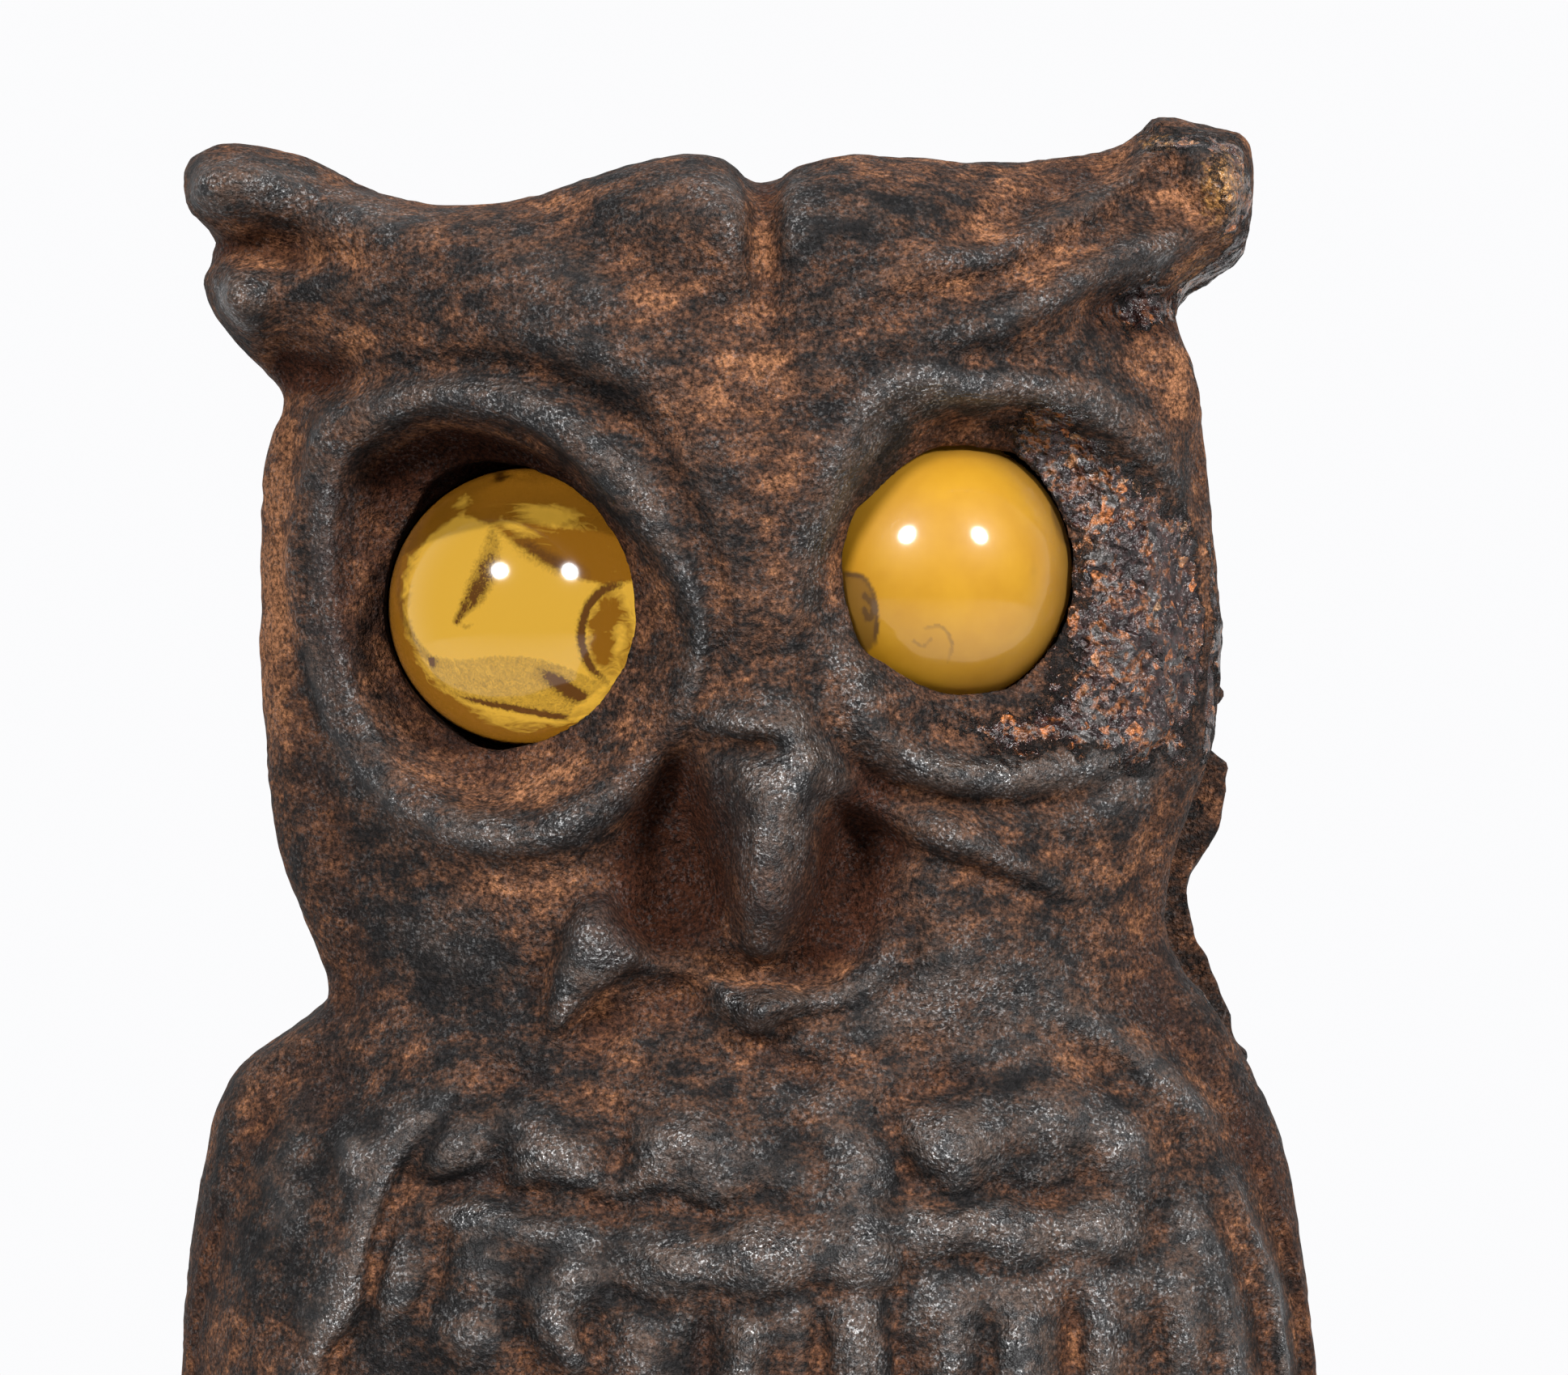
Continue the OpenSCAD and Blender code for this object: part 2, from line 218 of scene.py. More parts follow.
class Relief:
    """The depth of the figure's front in front of its back rim, as a map over x and z."""

    def __init__(self, x, z, depth):
        self.x, self.z, self.depth = x, z, depth
        self.step = x[0, 1] - x[0, 0]

    def window(self, points, margin):
        """The rows and columns of the map around some points."""
        p = np.array(points, float)
        ends = np.array([p.min(0) - margin, p.max(0) + margin])
        start = np.array([self.x[0, 0], self.z[0, 0]])
        cells = ((ends - start) / self.step).astype(int)
        cols, rows = np.clip(cells, 0, self.x.shape[::-1]).T
        return slice(*rows), slice(*cols)

    def stroke(self, path, left, right, rise, power=2.0):
        """A ridge along a path, or a crease with a negative rise. left and right are its half widths on
        each side of the path; they and the rise are one number each, or one for each point."""
        w = self.window(path, REACH * max(np.max(left), np.max(right)))
        gap, along, side = trace(smooth_path(path), self.x[w], self.z[w])
        stops = np.linspace(0, 1, len(path))
        left, right, rise = [v if np.isscalar(v) else np.interp(along, stops, v) for v in (left, right, rise)]
        self.depth[w] += rise * np.exp(-(gap / np.where(side > 0, left, right)) ** power)

    def lump(self, at, radii, rise, turn=0.0, power=2.0):
        """A rounded lump, or a hollow with a negative rise. turn is in degrees, against the clock."""
        w = self.window([at], REACH * max(radii))
        x, z = self.x[w] - at[0], self.z[w] - at[1]
        c, s = math.cos(math.radians(turn)), math.sin(math.radians(turn))
        q = ((x * c + z * s) / radii[0]) ** 2 + ((z * c - x * s) / radii[1]) ** 2
        self.depth[w] += rise * np.exp(-q ** (power / 2))

    def plateau(self, points, edge, rise):
        """Raises all that lies inside an outline, with a slope of the given width at its edge."""
        w = self.window(points, edge)
        self.depth[w] += rise * ease(depth_in(points, self.x[w], self.z[w]) / edge + 0.5)


OUTLINE = [
    # left side, from the bottom of the view up to the ear
    (-88.5, 196), (-88, 208.5), (-86.5, 221), (-83.5, 235), (-80, 243), (-75, 247), (-70, 250.5),
    (-66.5, 253.5), (-66, 257), (-67, 261), (-70, 268.5), (-73, 276), (-75.5, 293.5), (-76.5, 312),
    (-76, 331), (-75, 341), (-73.2, 344.5), (-73.2, 348), (-76, 351.5), (-79.5, 355), (-83, 359.5),
    (-84.8, 364), (-84.6, 367.5), (-84, 371), (-86, 374.5), (-87.4, 378), (-87.2, 382.5), (-84, 385),
    # top, from left to right
    (-79, 386), (-73, 385.2), (-66.5, 383), (-60, 379.5), (-54, 377), (-42.5, 376), (-31.5, 377.5),
    (-16.5, 382.5), (-10, 383.7), (-5, 383), (-1, 380.8), (1.5, 380.1), (4, 381), (8.5, 382.3),
    (16, 383), (31, 382.3), (38, 382.8), (45, 383.2), (51, 384), (56, 385.8), (59.5, 388.2),
    (61.5, 390), (65, 390), (70, 388.8), (74.5, 387.4),
    # right side, down to the bottom of the view
    (76.6, 384.5), (76.9, 380), (76.6, 375), (75.2, 370), (71, 366), (67, 363.2), (65.2, 360.5),
    (65.2, 356.5), (67, 352), (69, 346), (70, 338.5), (71.5, 322), (72, 305), (70.8, 293),
    (69.2, 287), (66.4, 280.5), (64.2, 274), (63.4, 268), (64.2, 262.5), (66.6, 258), (69.6, 254.5),
    (72.8, 250), (75.4, 246),
    (80.5, 236), (84, 221), (86, 206), (87, 196),
    # the lower body
    (88, 181), (87.5, 165), (84.5, 146), (79, 127), (71, 111), (60, 97), (49, 86), (30, 80), (0, 78),
    (-30, 80), (-49, 86), (-60, 98), (-71, 113), (-79.5, 130), (-85, 148), (-88, 166), (-89, 182),
]

# The side walls stand outside the outline by these factors, taken about the middle of the view.
RELIEF_MIDDLE = (4.6, 302.4)
HEAD_WIDER, BODY_WIDER = 1.019, 1.027
VIEW_BOTTOM = 190


def widened(outline):
    """The outline moved out to where the side walls stand; heights below the view stay as they are."""
    p = np.array(outline, float)
    share = ease((246 - p[:, 1]) / 10)
    grow = HEAD_WIDER + (BODY_WIDER - HEAD_WIDER) * share
    x = RELIEF_MIDDLE[0] + (p[:, 0] - RELIEF_MIDDLE[0]) * grow
    z = RELIEF_MIDDLE[1] + (p[:, 1] - RELIEF_MIDDLE[1]) * np.where(p[:, 1] > VIEW_BOTTOM, grow, 1)
    return np.column_stack([x, z])


# Depth along the middle line, and half the width that it curves over, against height.
MIDDLE_OUT = [(80, 36), (95, 48), (120, 58), (150, 64), (185, 67), (215, 65), (238, 59), (256, 54),
              (272, 55), (300, 58), (335, 61), (355, 62), (370, 58), (382, 50), (392, 44)]
CURVE_HALF = [(80, 80), (120, 92), (190, 105), (235, 96), (256, 84), (300, 86), (392, 92)]

LEFT_RIM = [(-64, 346), (-56.5, 348), (-48, 349), (-39, 348.4), (-31.5, 346), (-24, 341), (-16.5, 333),
            (-10.5, 323.5), (-7.2, 313.5), (-8, 304), (-10.5, 297), (-16, 288), (-24, 281.5),
            (-33.5, 277.5), (-43, 278), (-54, 282), (-63, 290), (-68.8, 300), (-72, 311),
            (-73.3, 322), (-71.8, 332), (-68.5, 341)]
LEFT_DISH = [(-60, 341.5), (-54, 344), (-46.5, 344.8), (-39, 343.6), (-31.5, 340), (-24, 333.5),
             (-16.5, 325.5), (-10.5, 316), (-8.6, 311), (-10, 302), (-13.5, 294.5), (-20, 288.5),
             (-29, 284), (-38, 282.3), (-46, 284), (-55, 290), (-62, 300), (-65, 313), (-66, 324),
             (-65, 334), (-63, 338.8)]
LEFT_HOLE = [(-19.1, 316), (-22.9, 328), (-28, 332.6), (-33.1, 335.6), (-38.2, 337.2), (-42.3, 337.6),
             (-46.4, 336.6), (-50.4, 334.1), (-52.8, 330), (-55.2, 324), (-56.8, 315), (-55.6, 307),
             (-51.5, 299.8), (-46.3, 295.2), (-43.3, 293.6), (-39.7, 292.8), (-36.1, 293.2),
             (-29.5, 296.9), (-23.6, 302.5), (-20, 309)]
RIGHT_DISH = [(8.6, 313), (10, 322), (13.5, 331), (18.5, 339), (25, 344.3), (33.5, 346.2),
              (42, 346), (51, 343.5), (59, 338), (65.5, 330), (68.6, 319), (69, 309), (67, 300),
              (61, 293.8), (54, 290.3), (46, 288.3), (38.5, 287.6), (30, 288.6), (22, 291.6),
              (15.5, 297), (10.5, 304.5)]
RIGHT_HOLE = [(32.2, 339.1), (27.4, 338.6), (23.1, 335), (19.3, 332), (15.6, 329.6), (13.9, 324.8),
              (13.8, 320), (14.8, 313.8), (16.6, 309), (20.2, 306), (26.5, 303.2), (32.2, 301.8),
              (38.9, 303), (43.2, 306.8), (46.9, 312.3), (48.5, 318.1), (47.7, 325.8), (44.5, 332.1),
              (39.9, 337.4)]


def bare_mass(x, z):
    """The masses of head, neck and body, before any feature."""
    least = 36
    half = np.interp(z, *smooth_path(CURVE_HALF, per_span=12).T)
    bow = 1 - ((x + 1) / half) ** 2
    middle = np.interp(z, *smooth_path(MIDDLE_OUT, per_span=12).T)
    return np.maximum(least, middle * np.sqrt(np.maximum(0.05, bow)))


# A socket's floor falls by this much for each millimetre outwards. An opening is this half height.
FLOOR_SLOPE = 0.43
OPENING_HALF = 18.65


def sculpt_sockets(r):
    """Each socket is a dish that falls from its rim to the opening, deeper on the outer side."""
    for dish, hole, glass, side, level, arch, least in (
            (LEFT_DISH, LEFT_HOLE, LEFT_GLASS, -1, 6.5, 0, -9),
            (RIGHT_DISH, RIGHT_HOLE, RIGHT_GLASS, 1, 6.0, 7.4, 7)):
        w = r.window(dish, 6)
        xw, zw = r.x[w], r.z[w]
        from_hole = -depth_in(hole, xw, zw)
        from_rim = depth_in(dish, xw, zw)
        floor = GLASS_OUT + level + FLOOR_SLOPE * side * (glass[0] - xw)
        floor += arch * np.minimum(((zw - glass[1]) / OPENING_HALF) ** 2, 1.15)
        floor += 0.7 * arch * ease(side * (glass[0] - xw) / 15)
        floor = np.maximum(floor, GLASS_OUT + least)
        q = unit(from_hole / np.maximum(from_hole + np.maximum(from_rim, 0), 1e-6))
        up = np.clip((zw - glass[1]) / 20, -1, 1)
        outer = np.clip(side * (xw - glass[0]) / 24, -1, 1)
        bend = 1.25 + 1.5 * np.maximum(up, 0) + 0.5 * np.maximum(-up, 0) + 0.35 * np.maximum(-outer, 0)
        top = r.depth[w]
        dished = mix(floor, top - 0.6, q ** bend)
        r.depth[w] = np.where(from_rim > 0, np.minimum(dished, top + 2), top)


def sculpt_head(r):
    # brows: a broad mass from each ear down to the bridge
    r.stroke([(-82, 381), (-68, 375), (-50, 368), (-32, 361), (-14, 350), (-5, 334), (-2, 316)],
             9, 9, [6, 5.5, 4.5, 4.5, 4.5, 3.5, 2.5])
    r.stroke([(71, 381), (58, 374), (42, 366), (26, 360), (13, 350), (7, 334), (4, 316)],
             9, 9, [7, 5, 4, 4, 4, 3, 2])
    # left ear: an upper and a lower lobe with a fold between them
    r.stroke([(-84, 379), (-76, 380.5), (-66, 377.5), (-54, 372.5), (-42, 369.5)], 5.5, 6.5,
             [7, 6.5, 4.5, 2.5, 0])
    r.lump((-79.5, 362), (6.5, 6.5), 8.5, turn=25)
    r.stroke([(-79, 362), (-70, 364), (-60, 363), (-50, 359)], 5, 5, [4, 4, 3, 0])
    r.stroke([(-88, 371.5), (-81, 371.2), (-74, 370.5), (-66, 368.5), (-58, 367.5)], 2.6, 2.6,
             [-8, -6, -3.5, -2, 0])
    r.lump((-69, 351.5), (7, 4.2), -7, turn=-12)
    r.stroke([(-66, 350), (-62.5, 353.5), (-61.5, 358)], 2, 2, [-1, -2.2, 0])
    # the groove over the left rim
    r.stroke([(-66, 349.5), (-52, 351), (-42, 351.5), (-32, 349.8), (-22, 344.6), (-14.5, 337.5)],
             3.2, 1.6, [-1.5, -1.6, -2.4, -3.2, -3.4, -0.5])
    r.stroke([(-56, 356), (-42, 356.5), (-28, 354), (-16, 348)], 3.5, 3.5, [0, 1.2, 1.6, 0])
    # crown: two humps with a notch between them
    r.lump((-10.5, 376), (13, 9.5), 7, turn=-8)
    r.stroke([(-19, 379), (-10, 379.5), (-4, 376), (-2.2, 369), (-1.5, 360)], 3.5, 4, [0, 1.6, 2.6, 1.6, 0])
    r.stroke([(-36, 378), (-29, 375), (-24, 370.5), (-19, 366), (-13, 361)], 3, 3,
             [-1.8, -1.4, -1.0, -0.8, 0])
    r.stroke([(-30, 367), (-23, 362.5), (-16, 358.5)], 2, 2, [0, 0.9, 0])
    r.lump((17, 375), (17, 9), 5, turn=2)
    r.stroke([(1.6, 387), (1.5, 378), (1.4, 369), (1.8, 361), (2, 352)], 2.5, 2.5, [-11, -9, -5.5, -2.5, 0])
    # grooves that sweep from the forehead to the right ear
    r.stroke([(5, 355), (13.5, 361.5), (25.5, 366.5), (36, 368.6), (43, 372.5), (50, 377), (58, 382.5)],
             3.4, 3, [0, 2, 2.6, 2.4, 2.6, 3.4, 4.5])
    r.stroke([(22, 371.5), (34, 372.2), (42, 376.2), (50, 379.8), (56.5, 384)], 2.4, 2.6,
             [0, -1.8, -2.6, -3.2, -3.8])
    r.stroke([(14, 354), (24, 360), (34, 363), (44, 367), (54, 373), (62, 377.5)], 2.6, 2.6,
             [0, -1.6, -1.7, -1.5, -1.6, -0.5])
    r.stroke([(20, 351), (28, 354), (35.5, 356.8), (43.4, 360.6), (50, 364), (57.4, 368), (64, 370),
              (72, 373)],
             3.6, 2.4, [0, 1.6, 3, 4.2, 5.4, 5.8, 5.2, 4.5])
    r.stroke([(47, 357.5), (52.5, 361.3), (58, 362.8), (66, 363.5), (73, 366.5)], 2, 4.2,
             [0, -5.5, -7, -6, -4])
    r.lump((60, 356), (7, 8), -4, turn=20)
    r.stroke([(61, 386.5), (67, 385), (73, 380), (75, 374)], 5, 5, [4, 4.5, 4.5, 2])
    r.stroke([(57, 378), (63, 383), (70, 384)], 1.8, 1.8, [0, -1.8, -0.8])
    # temple and the band outside the right socket
    r.stroke([(47, 352.5), (55, 348), (61.5, 341.5), (67, 333)], 2.4, 2.4, [0, 1.2, 1.2, 0])
    # rims
    r.plateau(LEFT_RIM, 2.6, 2.6)
    r.stroke([(-69, 300), (-63.5, 290.5), (-54, 283.5), (-44, 279.8), (-34, 279.2), (-25, 283), (-17, 288.5),
              (-13, 292)], 3.4, 4.2, [0, 1.6, 3, 3.6, 3.4, 2.8, 1.6, 0])
    r.stroke([(-66, 344), (-71, 335), (-72.2, 322), (-70.8, 311), (-67, 300)], 2.2, 2.2,
             [1, 1.6, 1.8, 1.6, 0.6])
    r.stroke([(-50, 347), (-38, 346.2), (-29, 343), (-20.5, 336), (-13.5, 327)], 3.2, 3.2,
             [0, 0.8, 1.6, 1.8, 0.8])
    r.stroke([(12, 330), (15, 341.5), (20.3, 348), (27, 349.4), (34, 348), (40, 349.2), (46.5, 348),
              (52, 345.5),
              (58.5, 341), (64.5, 335.5), (69, 327), (71, 316)], 3.2, 3,
              [0.5, 1.8, 2.6, 2.8, 2.4, 2.6, 2.6, 2.4, 2.2, 2.2, 2, 1])
    r.stroke([(11, 339), (15, 347), (24, 352.5), (34, 352.6), (44, 352.4), (53, 349.5)], 2.2, 2.2,
             [0, -1.4, -1.6, -1.2, -1.4, 0])


def sculpt_lower_face(r):
    # bridge: a flat between the sockets that ends in a step above the beak
    r.plateau([(-10.5, 340), (-7, 328), (-4, 318), (-3.6, 308), (-7, 300), (-12.3, 292.6), (-7.6, 294.4),
               (-4, 295.4), (3.6, 295), (9.5, 291), (13, 290), (9, 297), (7, 303), (6.8, 312), (9, 328),
               (14, 340)], 2.2, 1.8)
    r.stroke([(-7, 299), (-1, 299.4), (4.5, 298.8)], 0.9, 0.9, [-0.4, -0.9, -0.3])
    r.lump((2, 318), (6, 22), -1.2)
    # hollows on both sides of the beak
    r.lump((-11.5, 280), (9.5, 13), -10, turn=8, power=2.6)
    r.lump((15.5, 279), (8.5, 10.5), -10.5, turn=-25, power=2.6)
    r.lump((-16, 267), (8, 6.5), -5.5, turn=20)
    r.lump((13.5, 266.5), (9, 7), -5.5, turn=10)
    r.lump((1, 259), (12, 3.2), -3.2)
    r.lump((-21, 276), (8, 4), -3, turn=20)
    # beak
    r.stroke([(1.2, 293.5), (2.6, 286), (2.7, 278), (2.2, 270), (1.3, 264.2)], [9.6, 8.9, 7.8, 6.2, 4.2],
             [8.6, 8.4, 7.4, 5.8, 4], [7, 13, 14.5, 13.5, 8], power=3.6)
    r.stroke([(-6.5, 291), (-6.2, 284), (-5, 276), (-4, 268.5)], 2.2, 2.6, [1.5, 3, 3, 1])
    r.stroke([(-3.4, 290), (-4.2, 282), (-3.4, 274), (-2.4, 268)], 1.1, 1.1, [-0.6, -1.4, -1.4, -0.4])
    r.stroke([(-8, 295.5), (-4, 293.9), (3, 293.6), (7, 292.5)], 0.8, 1.9, [-2.8, -3.2, -2.6, -1])
    r.stroke([(-12.6, 291), (-14, 286.5), (-18, 282.5), (-25, 277)], 2.2, 1.5, [-2, -2.6, -2.6, -1])
    # mouth line: a drop-shaped lump on the left, a ridge, and a blunt point under the beak
    r.plateau([(-25.5, 269), (-22, 269.6), (-19.6, 266.4), (-16.6, 262.4), (-17.6, 260.2), (-21.6, 258),
               (-25.6, 253.6), (-29.8, 249.6), (-31.6, 250.6), (-31, 256.6), (-29.2, 262.6),
               (-27.6, 266.6)], 3.2, 4.6)
    r.lump((-24.6, 263.4), (6, 6.4), 2.6, turn=-30, power=2.4)
    r.stroke([(-33.6, 250), (-33, 257), (-31, 263.6), (-28.6, 269), (-24, 272.4)], 1.8, 1.8,
             [0, -1.4, -1.6, -1.4, 0])
    r.stroke([(-24, 266), (-20, 263), (-16, 259.8), (-12.5, 259.8), (-8.5, 258.6), (-5.5, 256.8)], 2, 2,
             [1, 2.4, 2.6, 2.6, 2.8, 3.2])
    r.lump((0, 254.4), (6.6, 3.4), 6.5, power=2.8)
    r.lump((0.8, 251.2), (2.6, 2.6), 3)
    r.stroke([(3.5, 254.2), (9, 254.6), (14, 256), (18.5, 259), (20.2, 263.5), (20.5, 268)], 2.4, 2.4,
             [2.8, 3, 3.2, 3.2, 2, 0])
    r.lump((-12, 254), (9, 4.2), -4.6, turn=8)
    r.lump((-24, 249.5), (5.5, 3.2), -3.6, turn=35)
    r.stroke([(-4.6, 251.8), (-1, 248.4), (2.5, 248.4), (6, 251.4), (13, 252.6), (19, 255.6)], 1.3, 1.3,
             [-1.6, -2.8, -2.8, -1.6, -1.2, 0])
    r.lump((30, 259), (9, 7), 2.2, turn=30)
    r.stroke([(22.5, 256), (24.5, 261), (24.8, 268)], 1.6, 1.6, [-1.2, -1.2, 0])
    # under the right eye: two rolled ridges with a groove between them
    r.stroke([(12.5, 302), (16.9, 297.2), (22.6, 292.9), (28.4, 290.3), (35.1, 289.4), (44.2, 290.2),
              (54, 292.2), (61, 296), (66, 302)], 3, 2.6, [0, 2, 3.6, 4.4, 4.4, 3.6, 2.4, 2, 1])
    r.stroke([(10.5, 297), (15, 291.5), (21.2, 287.6), (29.8, 285), (41.8, 284.2), (52, 286), (60, 290),
              (66, 296)],
             1.6, 1.6, [-1.2, -1.6, -2.4, -2.8, -3.2, -2.6, -1.6, 0])
    r.stroke([(5.5, 294), (8.75, 289.9), (15.5, 285.4), (23.6, 281.4), (32.4, 278.4), (41.4, 274.6),
              (50.4, 271)],
             2.8, 2.2, [1.8, 3, 3.8, 4, 3.8, 3, 0.8])
    r.stroke([(13, 284), (21, 279.2), (29, 275.8), (38, 272), (48, 268)], 1.5, 1.5,
             [-0.8, -2.2, -2.4, -2.2, -0.5])
    # cheeks
    r.lump((-50, 266), (20, 11), 1.6, turn=-15)
    r.lump((40, 261), (15, 9), 3, turn=-20)


def feather_rows(r):
    """Rows of worn breast feathers on the lower body, each a lobe whose lower edge drops to the next."""
    rng = np.random.default_rng(11)
    for k, top in enumerate(np.arange(197, 90, -16.5)):
        half = 57 - 0.0022 * (top - 190) ** 2
        count = 7 if k % 2 else 6
        for i in range(count):
            t = (i + 0.5) / count * 2 - 1
            cx = 5 + t * half + rng.uniform(-2.6, 2.6)
            cz = top - 8 + rng.uniform(-2.6, 2.6)
            wide = half / count * rng.uniform(0.8, 1.12)
            drop = rng.uniform(6, 10)
            rise = rng.uniform(1.2, 3)
            edge = [(cx - wide, cz + 5), (cx - 0.72 * wide, cz - 0.62 * drop),
                    (cx + rng.uniform(-2, 2), cz - drop),
                    (cx + 0.72 * wide, cz - 0.62 * drop), (cx + wide, cz + 5)]
            r.stroke(edge, 5.6, 2.2, [0, rise, rise * 1.1, rise, 0])


BREAST_RISE = 1.5
# Worn feathers of the upper breast: middle, radii, rise, turn.
BREAST_LUMPS = [
    ((-46.5, 232.2), (6.8, 5.2), 2.3, 20), ((-30, 231.4), (6.8, 5), 2.1, -10),
    ((-38.3, 229.6), (2, 3.6), -1.7, 0),
    ((-11.2, 232.4), (8, 6), 3.4, 0), ((-10.6, 230.4), (3.8, 2.6), -1.3, 0),
    ((-20.6, 231), (2.2, 5), -1.8, -15),
    ((31.1, 233.2), (8, 6), 3.6, 0), ((48.4, 237), (9.6, 5.6), 2.6, -12), ((27.8, 241.2), (6.4, 3), -2.2, 10),
    ((25.4, 228), (4.4, 2.2), -1.8, -30), ((30.5, 220.8), (5, 4), 2, 10), ((57, 231), (5, 7.4), 1.4, -20),
    ((41, 219.8), (5.4, 4.2), 2.2, -12), ((52, 219.6), (4.6, 3.6), 1.8, 14),
    ((-41.6, 215.4), (6.2, 6.4), 1.8, 0), ((-28, 213.6), (5.6, 5), 1.6, 20),
    ((-54, 213.6), (4.6, 8.8), 2.3, 12),
    ((-43.2, 204), (5, 4), 2.8, 0), ((1.4, 216.6), (6.4, 4.4), 2.6, 0), ((-12.4, 215.4), (6, 4.6), 2, 0),
    ((17, 217.6), (5.8, 5.4), 2.8, 0), ((-34, 241.6), (9, 2.6), -1.6, -10), ((62, 221), (3.4, 5), -1.4, -14),
    ((-62, 231), (3, 3.6), 1.7, 20), ((-17, 203), (4, 7), 1.5, 0), ((66.5, 204), (3.2, 9), 1.5, 6),
]
# Ridges and creases between them: path, half width, rise at each point.
BREAST_LINES = [
    ([(-53, 227.6), (-48, 225.2), (-42, 227.4), (-36, 224.4), (-29, 226), (-22, 222.8), (-14, 224.6),
      (-6, 222.2), (2, 224.8), (9, 224)], 1.9, [-0.8, -1.8, -1.3, -1.9, -1.1, -1.7, -1, -1.5, -0.8, 0]),
    ([(-31.5, 219), (-26, 219.4), (-20.6, 220.6)], 2, [0, 0.8, 0]),
    ([(-33, 210.6), (-30, 205.6), (-26.4, 200.2)], 2.3, [1, 2.8, 2.4]),
    ([(-37, 209), (-35.6, 203.6), (-33, 198)], 1.5, [-0.4, -1.6, -1.4]),
    ([(-22, 211), (-15, 208.4), (-8, 210.8), (0, 208.6), (9, 211.6), (20, 210.6)], 1.6,
     [-0.4, -1.3, -0.5, -1.2, -0.7, -1]),
    ([(13.6, 238), (15.4, 230), (16.4, 224)], 4, [0, 2, 0.6]),
    ([(22.4, 243), (20.8, 236), (23.2, 229), (21.2, 222), (23.2, 214), (20.8, 206), (22.4, 199), (21, 192)],
     1.6, [0, -1.3, -1.6, -0.8, -1.5, -0.9, -1.4, -0.8]),
    ([(24, 226), (30, 223.8), (37, 226), (45, 224.2), (52, 226.6), (58, 225)], 1.7,
     [-0.7, -1.6, -1, -1.7, -0.8, -0.2]),
    ([(24, 213.4), (32, 215.4), (40, 213.2), (48, 215.6), (56, 214.4), (63, 217.4)], 1.7,
     [-0.6, -1.1, -1.4, -0.8, -1.2, 0]),
    ([(-2, 248), (8, 243.4), (20, 242)], 2.2, [0, -1.6, 0]),
]
# Upright ribs and grooves of the lower feathers: place along x, half width, rise.
BREAST_RIBS = [(-8, 1.4, -1.6), (-1.6, 2.8, 2.4), (9.7, 1.5, -2), (16, 3.4, 2.4), (29.4, 2.6, 1.4),
               (35.2, 1.3, -1.4),
               (41, 4, 2.5), (48.2, 1.4, -2), (53.2, 2.7, 1.9), (61.4, 1.4, -1.3), (-25, 1.6, -1.2)]


